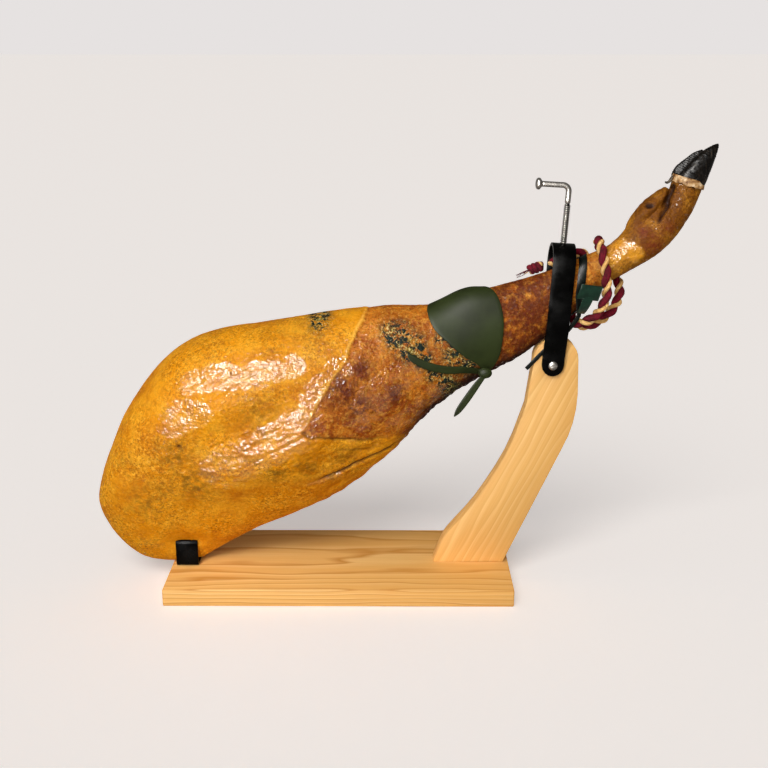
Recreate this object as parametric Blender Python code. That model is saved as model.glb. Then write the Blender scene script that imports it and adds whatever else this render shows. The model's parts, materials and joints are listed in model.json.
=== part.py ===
"""A whole cured ham on its wooden carving stand.

Metres, +Z up. The origin is the centre of the board's underside, +X runs towards the hoof,
and the ham lies in the XZ plane, resting in the bracket at -X and on the arm at +X.
"""
import math

import bmesh
import bpy
from mathutils import Matrix, Vector

MM = 0.001
GAP = 0.3  # clearance between pieces that touch, in millimetres

# Stand, in millimetres
BOARD_LENGTH, BOARD_WIDTH, BOARD_THICKNESS = 385.0, 160.0, 20.0
BOARD_ROUNDING = 1.6
ARM_THICKNESS = 20.0
ARM_TOP_RADIUS = 24.5
ARM_TOP = (236.8, 261.2)  # centre of the round top, x and z
ARM_LEFT_EDGE = [(106.0, 20.3), (112.0, 37.0), (122.0, 57.0), (153.5, 96.0), (186.5, 153.0), (206.0, 209.0)]
ARM_RIGHT_EDGE = [(262.5, 222.0), (261.5, 205.0), (258.8, 189.0), (254.3, 173.5), (247.2, 157.0), (186.0, 20.3)]

# Hoop, in millimetres; heights are measured from its pivot along its own axis
PIVOT = (233.0, 256.0)
HOOP_LEAN = math.radians(3.2)
HOOP_WIDTH, HOOP_THICKNESS = 24.0, 3.0
HOOP_FOOT_GAP = 1.3  # between each foot and the arm
HOOP_HALF_SPAN = 18.8  # inner half width round the shank
HOOP_FLARE_FROM, HOOP_FLARE_TO = 7.0, 46.0
HOOP_CROWN = 131.5  # outer top
SCREW_HOLE_RADIUS, SCREW_RADIUS = 2.6, 2.2
SCREW_HEAD_RADIUS, SCREW_HEAD_HEIGHT = 4.9, 2.6
SCREW_SLOT_WIDTH, SCREW_SLOT_DEPTH = 1.2, 1.0
SCREW_END = 1.5  # how far short of the arm's middle each screw ends

# Clamp bolt, in millimetres
BOLT_RADIUS, BOLT_HOLE_RADIUS = 3.1, 3.5
BOLT_FOOT_RADIUS, BOLT_FOOT_HEIGHT = 4.7, 4.0
BOLT_FOOT_FLOOR = 1.2
BOLT_FOOT_BASE = 110.6  # height over the pivot
BOLT_CRANK_HEIGHT = 192.5
BOLT_CRANK_LENGTH, BOLT_BEND_RADIUS = 35.5, 6.5
BOLT_SIDES = 16
# The head's radii and their distances from the rod's end
BOLT_HEAD = [(4.5, 0.0), (4.8, 1.9), (6.2, 2.0), (6.2, 3.0), (5.6, 4.8), (3.8, 6.0), (1.2, 6.4)]

# Bracket, in millimetres
BRACKET_X, BRACKET_WIDTH, BRACKET_STEEL = -174.0, 25.0, 3.0
BRACKET_HALF_SPAN = 19.5  # inner half width between the two uprights
BRACKET_HEIGHT = 31.5  # over the board
BRACKET_HOOK = 9.0  # how far each upright bends in over the top
BRACKET_BEND = 4.5

# Ham: each station is the upper outline's x and z, the lower outline's x and z, the half
# thickness and how much narrower the lower half is than the upper
HAM_STATIONS = [
    (-272.0, 108.0, -272.0, 90.0, 12.0, 0.1),
    (-266.0, 134.0, -266.0, 67.0, 28.0, 0.2),
    (-240.5, 193.0, -239.0, 30.0, 49.0, 0.35),
    (-210.5, 240.0, -206.0, 14.0, 59.0, 0.45),
    (-176.5, 273.5, -166.0, 17.0, 64.0, 0.5),
    (-136.0, 291.5, -126.0, 43.0, 67.0, 0.45),
    (-92.0, 299.0, -78.0, 67.0, 67.0, 0.3),
    (-46.0, 307.5, -30.0, 88.0, 64.0, 0.2),
    (-2.0, 314.0, 16.0, 116.0, 58.0, 0.15),
    (38.0, 319.5, 57.5, 150.5, 50.0, 0.1),
    (78.0, 319.5, 95.0, 194.0, 40.0, 0.05),
    (115.0, 322.0, 131.0, 226.0, 32.5, 0.0),
    (150.0, 335.0, 166.0, 245.0, 26.5, 0.0),
    (183.0, 344.5, 199.5, 264.0, 21.5, 0.0),
    (213.0, 353.5, 229.5, 288.3, 18.3, 0.0),
    (240.0, 363.5, 257.5, 314.6, 17.0, 0.0),
    (265.5, 375.0, 281.5, 339.3, 16.2, 0.0),
    (285.5, 383.0, 301.0, 351.7, 16.0, 0.0),
    (300.0, 395.3, 318.0, 361.5, 17.0, 0.0),
    (309.0, 407.3, 338.0, 373.7, 19.0, 0.0),
    (325.8, 419.2, 354.5, 389.5, 19.5, 0.0),
    (341.5, 429.5, 366.3, 407.3, 18.0, 0.0),
    (347.5, 442.0, 376.3, 426.2, 16.5, 0.0),
    (351.0, 455.5, 382.5, 447.0, 16.0, 0.0),
]
BRACKET_PINCH = 19.2  # the ham's half thickness between the uprights
BRACKET_PINCH_FADE = 22.0  # how far that reaches beyond them
HAM_RINGS_PER_STATION = 2
HAM_SEGMENTS = 32
DEWCLAW_FLAP = {"centre": (326.5, 0.0, 424.0), "half_size": (31.0, 14.0, 8.0), "slope": math.radians(47.0)}

# Hooves: as the ham's stations, without the last value
HOOF_NEAR = [(351.3, 456.6, 383.0, 448.1, 9.0), (361.0, 467.0, 387.6, 461.5, 8.6),
             (374.0, 481.5, 391.6, 475.0, 6.4), (386.0, 489.0, 394.5, 485.0, 3.4)]
HOOF_NEAR_TIP = (395.2, 493.0)
HOOF_FAR = [(350.5, 456.8, 382.3, 448.4, 8.0), (353.5, 466.0, 384.8, 459.5, 7.4),
            (361.5, 473.0, 385.8, 468.0, 6.0), (370.5, 480.5, 386.5, 477.5, 3.6)]
HOOF_FAR_TIP = (381.5, 486.5)
HOOF_SPREAD = 7.6  # each claw's distance from the middle plane where it leaves the skin
HOOF_CLOSING, HOOF_TIP_SPREAD = 0.2, 0.6  # the share of that lost by the last section, and kept at the tip
HOOF_INNER_FLATNESS = 0.75
HOOF_SEGMENTS = 16

# Label: turn round the shank in degrees (0 at the top, 90 at the front), first and last station
LABEL_BAND = [(150, 11.78, 11.98), (135, 11.74, 12.20), (122, 11.66, 12.36), (105, 11.38, 12.47),
              (87, 11.10, 12.58), (70, 10.86, 12.63), (54, 10.60, 12.62), (36, 10.48, 12.57),
              (15, 10.46, 12.42), (-5, 10.58, 12.20), (-30, 10.82, 12.08), (-55, 11.10, 11.98),
              (-80, 11.36, 11.88), (-105, 11.56, 11.82), (-150, 11.66, 11.90), (-195, 11.74, 11.98)]
LABEL_OFFSET, LABEL_THICKNESS = 0.9, 0.8
LABEL_ARCH, LABEL_ARCH_REACH = 7.8, 69.0  # how far it stands off the top, and the turn where that ends
LABEL_ARCH_SHARES = (0.0, 0.6, 1.0, 0.95, 0.25)  # and how that varies from its first station to its last
LABEL_STEPS = 2
LABEL_TONGUE = [(11.86, 143.0), (11.35, 122.0), (10.80, 106.0), (10.35, 92.0), (9.98, 79.0), (9.78, 70.0)]
LABEL_TONGUE_OFFSET = 2.0
LABEL_TAIL = [(159.0, -24.4, 249.0), (150.0, -27.0, 238.0), (139.0, -29.0, 222.0), (126.0, -30.0, 203.0)]
LABEL_KNOT = {"centre": (159.0, -22.9, 250.0), "half_size": (8.0, 4.6, 6.0)}

# Rope, in millimetres
ROPE_RADIUS = 5.5
ROPE_ROUTE = [(251, -7, 301), (259, -10, 303), (270, -16, 308), (279, -22, 319), (284, -25, 334),
              (284, -25, 348), (282, -24, 364), (279, -14, 382), (278, 0, 389.5), (280, 13, 385),
              (286, 21, 374), (294, 22, 362), (301, 18, 350), (305, 10, 337), (301, 1, 323),
              (292, -4, 312), (281, -4, 303), (269, 1, 297), (260, 10, 299), (257, 19, 307),
              (260, 26, 321), (264, 28, 341), (268, 25, 358), (266.5, 20.6, 372), (260, 15.4, 374.2),
              (252.5, 10.4, 372.0), (245, 9.8, 369.3), (238, 10.2, 366.6), (227, 11.6, 362.6)]
ROPE_STEP = 10.0
ROPE_KNOT = {"centre": (213.5, 11.4, 358.6), "half_size": (12.0, 6.4, 7.5), "slope": math.radians(18.0)}

# Seal, in millimetres; the plate's width and height run along these directions
SEAL_PLATE = {"centre": (264.7, -36.0, 341.5), "size": (24.4, 2.2, 16.9),
              "width_runs": (23.3, 6.0, -4.0), "height_runs": (3.8, -4.1, 16.0)}
SEAL_NECK = {"top": (263.2, -34.9, 334.5), "bottom": (258.0, -22.6, 316.0),
             "half_widths": (6.0, 4.6), "thickness": 2.0}
SEAL_STRAP_WIDTH, SEAL_STRAP_THICKNESS = 8.8, 0.7
SEAL_STRAP_OFFSET = 0.65
SEAL_STRAP_STATION, SEAL_STRAP_SKEW = 15.37, 0.45
SEAL_STRAP_TURNS = (112.0, -205.0)
SEAL_STRAP_RINGS = 29
SEAL_TAIL = [(257.5, -19.0, 312.5), (251.5, -16.9, 302.0), (243.0, -13.6, 290.0), (233.0, -10.9, 280.0),
             (222.0, -10.65, 270.5), (212.0, -10.65, 259.5), (204.5, -11.2, 251.5)]
SEAL_TAIL_WIDTH = 4.4


def clear_scene():
    for item in list(bpy.data.objects):
        bpy.data.objects.remove(item, do_unlink=True)


def linear(channel):
    return channel / 12.92 if channel <= 0.04045 else ((channel + 0.055) / 1.055) ** 2.4


def material(name, hex_colour, roughness, metallic=0.0):
    made = bpy.data.materials.new(name)
    made.use_nodes = True
    shader = made.node_tree.nodes["Principled BSDF"]
    channels = [int(hex_colour[i:i + 2], 16) / 255 for i in (0, 2, 4)]
    shader.inputs["Base Color"].default_value = [linear(c) for c in channels] + [1.0]
    shader.inputs["Roughness"].default_value = roughness
    shader.inputs["Metallic"].default_value = metallic
    return made


def point(x, y, z):
    """A point given in millimetres."""
    return Vector((x, y, z)) * MM


def new_object(name, bm, look, smooth_degrees=40):
    """Closes a bmesh into a named object with its faces pointing out."""
    bmesh.ops.remove_doubles(bm, verts=bm.verts, dist=1e-7)
    bmesh.ops.recalc_face_normals(bm, faces=bm.faces)
    mesh = bpy.data.meshes.new(name)
    bm.to_mesh(mesh)
    bm.free()
    mesh.shade_smooth()
    mesh.set_sharp_from_angle(angle=math.radians(smooth_degrees))
    mesh.materials.append(look)
    made = bpy.data.objects.new(name, mesh)
    bpy.context.scene.collection.objects.link(made)
    return made


def add_bevel(item, width, segments=2):
    bevel = item.modifiers.new("rounded edges", "BEVEL")
    bevel.width = width * MM
    bevel.segments = segments
    bevel.limit_method = "ANGLE"
    bevel.angle_limit = math.radians(40)
    return bevel


def add_boolean(item, other, operation):
    """Cuts or joins item with other, which is left out of the model."""
    change = item.modifiers.new(operation.lower(), "BOOLEAN")
    change.operation = operation
    change.object = other
    other.hide_render = True
    other.display_type = "WIRE"
    return change


def spline(rows, t):
    """The Catmull-Rom value at t, which counts rows from 0; rows hold tuples of equal length."""
    last = len(rows) - 1
    t = min(max(t, 0.0), float(last))
    i = min(int(t), last - 1)
    f = t - i
    p1, p2 = rows[i], rows[i + 1]
    p0 = rows[i - 1] if i > 0 else [2 * a - b for a, b in zip(p1, p2)]
    p3 = rows[i + 2] if i + 2 <= last else [2 * a - b for a, b in zip(p2, p1)]
    return [
        0.5 * (2 * b + (c - a) * f + (2 * a - 5 * b + 4 * c - d) * f * f + (3 * b - a - 3 * c + d) * f ** 3)
        for a, b, c, d in zip(p0, p1, p2, p3)
    ]


def spline_points(rows, steps):
    """Points along the whole spline, steps to each span."""
    count = (len(rows) - 1) * steps
    return [spline(rows, i / steps) for i in range(count + 1)]


def skin_rings(bm, rings, tip=None):
    """Joins rings of equal length with quads and closes both ends, the last one on tip if there is one."""
    made = [[bm.verts.new(p) for p in ring] for ring in rings]
    count = len(rings[0])
    for one, other in zip(made, made[1:]):
        for i in range(count):
            j = (i + 1) % count
            bm.faces.new((one[i], one[j], other[j], other[i]))
    bm.faces.new(made[0])
    if tip is None:
        bm.faces.new(made[-1])
        return
    end = bm.verts.new(tip)
    for i in range(count):
        bm.faces.new((made[-1][i], made[-1][(i + 1) % count], end))


def sized(x, y, z):
    """A scaling matrix, in millimetres."""
    return Matrix.Diagonal((x * MM, y * MM, z * MM, 1.0))


def box(bm, low, high):
    """An axis-aligned box between two corners in millimetres."""
    low, high = Vector(low), Vector(high)
    place = Matrix.Translation((low + high) / 2 * MM) @ sized(*(high - low))
    bmesh.ops.create_cube(bm, size=1.0, matrix=place)


def ellipsoid(bm, centre, half_size, slope=0.0, segments=16):
    """A rounded lump whose length rises towards +X by slope, in radians."""
    place = Matrix.Translation(point(*centre)) @ Matrix.Rotation(-slope, 4, "Y") @ sized(*half_size)
    bmesh.ops.create_uvsphere(bm, u_segments=segments, v_segments=segments * 2 // 3, radius=1.0, matrix=place)


def cylinder(bm, radius, start, end, segments=24):
    """A capped cylinder between two points in millimetres."""
    start, end = point(*start), point(*end)
    along = end - start
    place = Matrix.Translation((start + end) / 2) @ along.to_track_quat("Z", "Y").to_matrix().to_4x4()
    bmesh.ops.create_cone(bm, cap_ends=True, segments=segments, radius1=radius * MM, radius2=radius * MM,
                          depth=along.length, matrix=place)


def turned(bm, profile, origin, axis, segments=24):
    """A solid turned from (radius, height) pairs about an axis through origin; both ends are on the axis."""
    frame = Matrix.Translation(point(*origin)) @ Vector(axis).to_track_quat("Z", "Y").to_matrix().to_4x4()
    rings = []
    for radius, height in profile:
        turns = [2 * math.pi * i / segments for i in range(segments)]
        rings.append([frame @ point(radius * math.cos(a), radius * math.sin(a), height) for a in turns])
    skin_rings(bm, rings)


# The ham

def ham_station(t):
    return spline(HAM_STATIONS, t)


def ham_frame(station):
    """A section's centre, its upward direction and its half height, in millimetres."""
    upper = Vector((station[0], 0.0, station[1]))
    lower = Vector((station[2], 0.0, station[3]))
    return (upper + lower) / 2, (upper - lower).normalized(), (upper - lower).length / 2


def faded(distance, reach):
    """1 where distance is 0 or less, falling smoothly to 0 at reach."""
    f = min(max(1 - distance / reach, 0.0), 1.0)
    return f * f * (3 - 2 * f)


def settled(place):
    """Flattens the ham's underside onto the board and pinches it between the bracket's uprights."""
    beside = faded(abs(place.x - BRACKET_X) - BRACKET_WIDTH / 2, BRACKET_PINCH_FADE)
    below = faded(place.z - BOARD_THICKNESS - BRACKET_HEIGHT, BRACKET_PINCH_FADE)
    spare = abs(place.y) - BRACKET_PINCH
    y = place.y - math.copysign(max(spare, 0.0), place.y) * beside * below
    return Vector((place.x, y, max(place.z, BOARD_THICKNESS + 2 * GAP)))


def ham_skin(t, turn):
    """A point on the ham in millimetres; turn is in degrees, 0 at the top and 90 at the front."""
    station = ham_station(t)
    centre, up, half_height = ham_frame(station)
    half_thickness, narrowing = station[4], station[5]
    c, s = math.cos(math.radians(turn)), math.sin(math.radians(turn))
    across = half_thickness * s * (1 + narrowing * c) / (1 + 0.4 * narrowing ** 2)
    return settled(centre + up * (half_height * c) + Vector((0.0, -across, 0.0)))


def ham_normal(t, turn):
    """The direction straight out of the ham's skin."""
    along = ham_skin(t + 0.02, turn) - ham_skin(t - 0.02, turn)
    around = ham_skin(t, turn + 1.0) - ham_skin(t, turn - 1.0)
    return around.cross(along).normalized()


def ham_surface(t, turn, proud=0.0):
    """A point on the ham, or proud millimetres off it, in metres."""
    place = ham_skin(t, turn)
    if proud:
        place += ham_normal(t, turn) * proud
    return place * MM


def make_ham(look, cutters):
    bm = bmesh.new()
    rings = []
    count = (len(HAM_STATIONS) - 1) * HAM_RINGS_PER_STATION
    for i in range(count + 1):
        t = i / HAM_RINGS_PER_STATION
        rings.append([ham_surface(t, 360.0 * k / HAM_SEGMENTS) for k in range(HAM_SEGMENTS)])
    skin_rings(bm, rings)
    ham = new_object("ham", bm, look)

    flap = bmesh.new()
    ellipsoid(flap, **DEWCLAW_FLAP)
    add_boolean(ham, new_object("dewclaw_flap_guide", flap, look), "UNION")
    for cutter in cutters:
        add_boolean(ham, cutter, "DIFFERENCE")
    return ham


def make_hoof(name, stations, tip, side, look):
    """One claw: a loft of rounded sections, flatter on the inner side, that closes to a point."""
    bm = bmesh.new()
    rings = []
    count = (len(stations) - 1) * 2
    turns = [2 * math.pi * k / HOOF_SEGMENTS for k in range(HOOF_SEGMENTS)]
    for i in range(count + 1):
        station = spline(stations, i / 2)
        centre, up, half_height = ham_frame(station)
        offset = HOOF_SPREAD * (1 - HOOF_CLOSING * i / count)
        ring = []
        for a in turns:
            bulge = station[4] * math.sin(a) * (HOOF_INNER_FLATNESS if math.sin(a) < 0 else 1.0)
            place = centre + up * (half_height * math.cos(a))
            ring.append(point(place.x, side * (offset + bulge), place.z))
        rings.append(ring)
    skin_rings(bm, rings, point(tip[0], side * HOOF_SPREAD * HOOF_TIP_SPREAD, tip[1]))
    return new_object(name, bm, look)


# The stand

def make_board(look):
    bm = bmesh.new()
    box(bm, (-BOARD_LENGTH / 2, -BOARD_WIDTH / 2, 0), (BOARD_LENGTH / 2, BOARD_WIDTH / 2, BOARD_THICKNESS))
    board = new_object("board", bm, look)
    add_bevel(board, BOARD_ROUNDING)
    return board


def make_arm(look):
    left = spline_points(ARM_LEFT_EDGE, 3)
    top = []
    for i in range(15):
        a = math.radians(186 - 186 * i / 14)
        top.append((ARM_TOP[0] + ARM_TOP_RADIUS * math.cos(a), ARM_TOP[1] + ARM_TOP_RADIUS * math.sin(a)))
    outline = left + top + ARM_RIGHT_EDGE
    bm = bmesh.new()
    half = ARM_THICKNESS / 2
    skin_rings(bm, [[point(x, -half, z) for x, z in outline], [point(x, half, z) for x, z in outline]])
    arm = new_object("arm", bm, look, 30)
    hole = bmesh.new()
    cylinder(hole, SCREW_HOLE_RADIUS, (PIVOT[0], -30, PIVOT[1]), (PIVOT[0], 30, PIVOT[1]))
    add_boolean(arm, new_object("arm_hole_guide", hole, look), "DIFFERENCE")
    add_bevel(arm, 1.2).angle_limit = math.radians(60)
    return arm


def hoop_centre_line():
    """Points (y, z) of the band's middle, from the front foot over the crown to the back foot."""
    foot = ARM_THICKNESS / 2 + HOOP_FOOT_GAP + HOOP_THICKNESS / 2
    side = HOOP_HALF_SPAN + HOOP_THICKNESS / 2
    shoulder = HOOP_CROWN - HOOP_THICKNESS / 2 - side
    leg = [(-foot, HOOP_WIDTH / 2 * math.sin(math.radians(a))) for a in (-90, -72, -50, -25)]
    leg += [(-foot, 0.0), (-foot, HOOP_FLARE_FROM)]
    for i in range(1, 6):
        f = i / 6
        ease = f * f * (3 - 2 * f)
        leg.append((-foot - (side - foot) * (0.5 * f + 0.5 * ease),
                    HOOP_FLARE_FROM + (HOOP_FLARE_TO - HOOP_FLARE_FROM) * f))
    leg.append((-side, HOOP_FLARE_TO))
    turns = [math.pi * i / 20 for i in range(21)]
    crown = [(-side * math.cos(a), shoulder + side * math.sin(a)) for a in turns]
    return leg + crown + [(-y, z) for y, z in reversed(leg)]


def bent_band(bm, line, half_width, thickness, middle_x=0.0):
    """Sweeps a flat strip, as wide as half_width(z) says, along (y, z) points."""
    rings = []
    for i, (y, z) in enumerate(line):
        before, after = line[max(i - 1, 0)], line[min(i + 1, len(line) - 1)]
        along = Vector((after[0] - before[0], after[1] - before[1])).normalized()
        out_y, out_z = -along.y * thickness / 2, along.x * thickness / 2
        left, right = middle_x - half_width(z), middle_x + half_width(z)
        rings.append([point(left, y + out_y, z + out_z), point(right, y + out_y, z + out_z),
                      point(right, y - out_y, z - out_z), point(left, y - out_y, z - out_z)])
    skin_rings(bm, rings)


def hoop_half_width(z):
    """The band is straight, with a half-round foot below the pivot."""
    half = HOOP_WIDTH / 2
    return half if z >= 0 else max(math.sqrt(max(half ** 2 - z ** 2, 0.0)), 0.8)


def make_hoop(look):
    """A flat band bent over the shank, with round feet for the screws and the bolt's hole in its crown."""
    bm = bmesh.new()
    bent_band(bm, hoop_centre_line(), hoop_half_width, HOOP_THICKNESS)
    hoop = new_object("hoop", bm, look)
    hole = bmesh.new()
    cylinder(hole, SCREW_HOLE_RADIUS, (0, -30, 0), (0, 30, 0))
    add_boolean(hoop, new_object("hoop_pivot_guide", hole, look), "DIFFERENCE")
    hole = bmesh.new()
    cylinder(hole, BOLT_HOLE_RADIUS, (0, 0, HOOP_CROWN - 12), (0, 0, HOOP_CROWN + 6))
    add_boolean(hoop, new_object("hoop_bolt_guide", hole, look), "DIFFERENCE")
    return hoop


def make_hoop_screw(name, side, look):
    """A slotted screw that holds one foot of the hoop to the arm."""
    seat = ARM_THICKNESS / 2 + HOOP_FOOT_GAP + HOOP_THICKNESS + GAP
    r, h = SCREW_HEAD_RADIUS, SCREW_HEAD_HEIGHT
    end = SCREW_END - seat
    profile = [(0.01, end), (SCREW_RADIUS, end), (SCREW_RADIUS, 0.0), (r, 0.0), (r, h * 0.35),
               (r * 0.86, h * 0.72), (r * 0.55, h * 0.95), (0.01, h)]
    bm = bmesh.new()
    turned(bm, profile, (PIVOT[0], side * seat, PIVOT[1]), (0, side, 0))
    screw = new_object(name, bm, look)
    slot = bmesh.new()
    top = side * (seat + h)
    box(slot, (PIVOT[0] - 2 * r, top - SCREW_SLOT_DEPTH, PIVOT[1] - SCREW_SLOT_WIDTH / 2),
        (PIVOT[0] + 2 * r, top + SCREW_SLOT_DEPTH, PIVOT[1] + SCREW_SLOT_WIDTH / 2))
    add_boolean(screw, new_object(name + "_slot_guide", slot, look), "DIFFERENCE")
    return screw


def make_clamp_bolt(look):
    """A threaded rod bent into a crank, with a domed head on the crank's end."""
    bm = bmesh.new()
    foot = BOLT_FOOT_BASE + BOLT_FOOT_FLOOR + GAP
    bend = BOLT_BEND_RADIUS
    line = [(0.0, foot), (0.0, BOLT_CRANK_HEIGHT - bend)]
    for i in range(1, 7):
        a = math.pi / 2 * i / 6
        line.append((-bend + bend * math.cos(a), BOLT_CRANK_HEIGHT - bend + bend * math.sin(a)))
    neck = BOLT_CRANK_LENGTH - BOLT_HEAD[-1][1]
    line.append((-neck + GAP, BOLT_CRANK_HEIGHT))
    radii = [BOLT_RADIUS] * len(line)
    for radius, ahead in BOLT_HEAD:
        line.append((-neck - ahead, BOLT_CRANK_HEIGHT))
        radii.append(radius)
    turns = [2 * math.pi * k / BOLT_SIDES for k in range(BOLT_SIDES)]
    side = Vector((0, 1, 0))
    rings = []
    for i, (x, z) in enumerate(line):
        before, after = line[max(i - 1, 0)], line[min(i + 1, len(line) - 1)]
        along = Vector((after[0] - before[0], 0, after[1] - before[1])).normalized()
        normal = along.cross(side)
        middle = Vector((x, 0, z))
        rings.append([(middle + (normal * math.cos(a) + side * math.sin(a)) * radii[i]) * MM for a in turns])
    skin_rings(bm, rings)
    return new_object("clamp_bolt", bm, look)


def make_bolt_foot(look):
    """A small pressure cup that the bolt's end turns in."""
    bm = bmesh.new()
    r, h = BOLT_FOOT_RADIUS, BOLT_FOOT_HEIGHT
    hole, floor = BOLT_HOLE_RADIUS, BOLT_FOOT_FLOOR
    profile = [(0.01, 0.0), (r - 1, 0.0), (r, 1.0), (r, h - 0.6), (r - 0.6, h),
               (hole, h), (hole, floor), (0.01, floor)]
    turned(bm, profile, (0, 0, BOLT_FOOT_BASE), (0, 0, 1))
    return new_object("bolt_foot", bm, look)


def bracket_centre_line():
    """Points (y, z) of the strip's middle, from its front end, bent in over the ham, to its back one."""
    half = BRACKET_HALF_SPAN + BRACKET_STEEL / 2
    low = BOARD_THICKNESS + GAP + BRACKET_STEEL / 2
    high = BOARD_THICKNESS + GAP + BRACKET_HEIGHT - BRACKET_STEEL / 2
    bend = BRACKET_BEND - BRACKET_STEEL / 2
    side = [(-half + BRACKET_HOOK, high)]
    for i in range(6):
        a = math.pi / 2 * i / 5
        side.append((-half + bend - bend * math.sin(a), high - bend + bend * math.cos(a)))
    for i in range(6):
        a = math.pi / 2 * i / 5
        side.append((-half + bend - bend * math.cos(a), low + bend - bend * math.sin(a)))
    return side + [(-y, z) for y, z in reversed(side)]


def make_bracket(name, look, spare=0.0):
    """The steel strip that holds the ham's butt; spare thickens it into the pocket that it presses there."""
    line = bracket_centre_line()
    line[0] = (line[0][0] + spare, line[0][1])
    line[-1] = (line[-1][0] - spare, line[-1][1])
    bm = bmesh.new()
    bent_band(bm, line, lambda z: BRACKET_WIDTH / 2 + spare, BRACKET_STEEL + 2 * spare, BRACKET_X)
    return new_object(name, bm, look, 30)


# What is tied to the shank

def ribbon(bm, middle, across, outward, half_widths, thickness):
    """A strip through the points middle; across and outward give its width and its outer side at each."""
    rings = []
    for p, a, n, half in zip(middle, across, outward, half_widths):
        out, side = n * (thickness * MM / 2), a * (half * MM)
        rings.append([p - side + out, p + side + out, p + side - out, p - side - out])
    skin_rings(bm, rings)


def tapered(count, start, middle, end, swell=0.35):
    """Half widths along a leaf-shaped strip."""
    widths = []
    for i in range(count):
        f = i / (count - 1)
        if f < swell:
            widths.append(start + (middle - start) * math.sin(math.pi / 2 * f / swell))
        else:
            g = (f - swell) / (1 - swell)
            widths.append(end + (middle - end) * math.sqrt(max(1 - g ** 3, 0.0)))
    return widths


def make_label(look):
    """A card round the shank, wide over its front and top, whose two ends leave the knot below."""
    bm = bmesh.new()
    rings = []
    for turn, first, last in spline_points(LABEL_BAND, LABEL_STEPS):
        height = math.cos(math.pi / 2 * min(abs(turn) / LABEL_ARCH_REACH, 1.0)) ** 2
        last_column = len(LABEL_ARCH_SHARES) - 1
        row = [(first + (last - first) * i / last_column, LABEL_OFFSET + LABEL_ARCH * height * share)
               for i, share in enumerate(LABEL_ARCH_SHARES)]
        outer_row = [ham_surface(t, turn, inner + LABEL_THICKNESS) for t, inner in row]
        inner_row = [ham_surface(t, turn, inner) for t, inner in reversed(row)]
        rings.append(outer_row + inner_row)
    skin_rings(bm, rings)
    label = new_object("label", bm, look, 50)

    knot = bmesh.new()
    ellipsoid(knot, **LABEL_KNOT, segments=12)
    add_boolean(label, new_object("label_knot_guide", knot, look), "UNION")

    tongue = bmesh.new()
    path = spline_points(LABEL_TONGUE, 3)
    middle = [ham_surface(t, turn, LABEL_TONGUE_OFFSET) for t, turn in path]
    outward = [ham_normal(t, turn) for t, turn in path]
    ribbon(tongue, middle, crosswise(middle, outward), outward, tapered(len(middle), 2.6, 4.4, 1.6), 0.9)
    add_boolean(label, new_object("label_tongue_guide", tongue, look), "UNION")

    tail = bmesh.new()
    middle = [Vector(p) * MM for p in spline_points(LABEL_TAIL, 4)]
    outward = [Vector((0.15, -0.98, 0.1)).normalized()] * len(middle)
    ribbon(tail, middle, crosswise(middle, outward), outward, tapered(len(middle), 2.2, 4.0, 0.6, 0.6), 0.9)
    add_boolean(label, new_object("label_tail_guide", tail, look), "UNION")
    return label


def crosswise(middle, outward):
    """The direction across a strip at each of its points."""
    made = []
    for i, n in enumerate(outward):
        along = middle[min(i + 1, len(middle) - 1)] - middle[max(i - 1, 0)]
        made.append(along.cross(n).normalized())
    return made


def make_rope(look):
    """The plain tube that stands for the twisted rope."""
    curve = bpy.data.curves.new("rope", "CURVE")
    curve.dimensions = "3D"
    curve.bevel_depth = ROPE_RADIUS * MM
    curve.bevel_resolution = 2
    curve.use_fill_caps = True
    fine = spline_points(ROPE_ROUTE, 10)
    kept, run = [fine[0]], 0.0
    for one, other in zip(fine, fine[1:]):
        run += (Vector(other) - Vector(one)).length
        if run >= ROPE_STEP:
            kept.append(other)
            run = 0.0
    kept[-1] = fine[-1]
    line = curve.splines.new("POLY")
    line.points.add(len(kept) - 1)
    for held, p in zip(line.points, kept):
        held.co = (p[0] * MM, p[1] * MM, p[2] * MM, 1.0)
    curve.materials.append(look)
    rope = bpy.data.objects.new("rope", curve)
    bpy.context.scene.collection.objects.link(rope)
    return rope


def make_rope_knot(look):
    """The lump of the rope's knot, on the far side of the shank."""
    bm = bmesh.new()
    ellipsoid(bm, **ROPE_KNOT)
    return new_object("rope_knot", bm, look)


def make_seal_tag(look):
    """The seal's plate with the tapered lock below it, which leans back to the strap."""
    right = Vector(SEAL_PLATE["width_runs"]).normalized()
    out = right.cross(Vector(SEAL_PLATE["height_runs"])).normalized()
    turn = Matrix((right, -out, right.cross(-out))).transposed().to_4x4()
    place = Matrix.Translation(point(*SEAL_PLATE["centre"])) @ turn @ sized(*SEAL_PLATE["size"])
    bm = bmesh.new()
    bmesh.ops.create_cube(bm, size=1.0, matrix=place)
    tag = new_object("seal_tag", bm, look)

    neck = bmesh.new()
    top, bottom = Vector(SEAL_NECK["top"]), Vector(SEAL_NECK["bottom"])
    wide, narrow = SEAL_NECK["half_widths"]
    depth = Vector((0.0, SEAL_NECK["thickness"] / 2, 0.0))
    rings = []
    for i in range(6):
        f = i / 5
        middle = top.lerp(bottom, f)
        middle.y = top.y + (bottom.y - top.y) * f * f
        across = right * (wide + (narrow - wide) * f)
        left, right_side = middle - across, middle + across
        corners = (left - depth, right_side - depth, right_side + depth, left + depth)
        rings.append([corner * MM for corner in corners])
    skin_rings(neck, rings)
    add_boolean(tag, new_object("seal_neck_guide", neck, look), "UNION")
    add_bevel(tag, 0.6, 1)
    return tag


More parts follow.
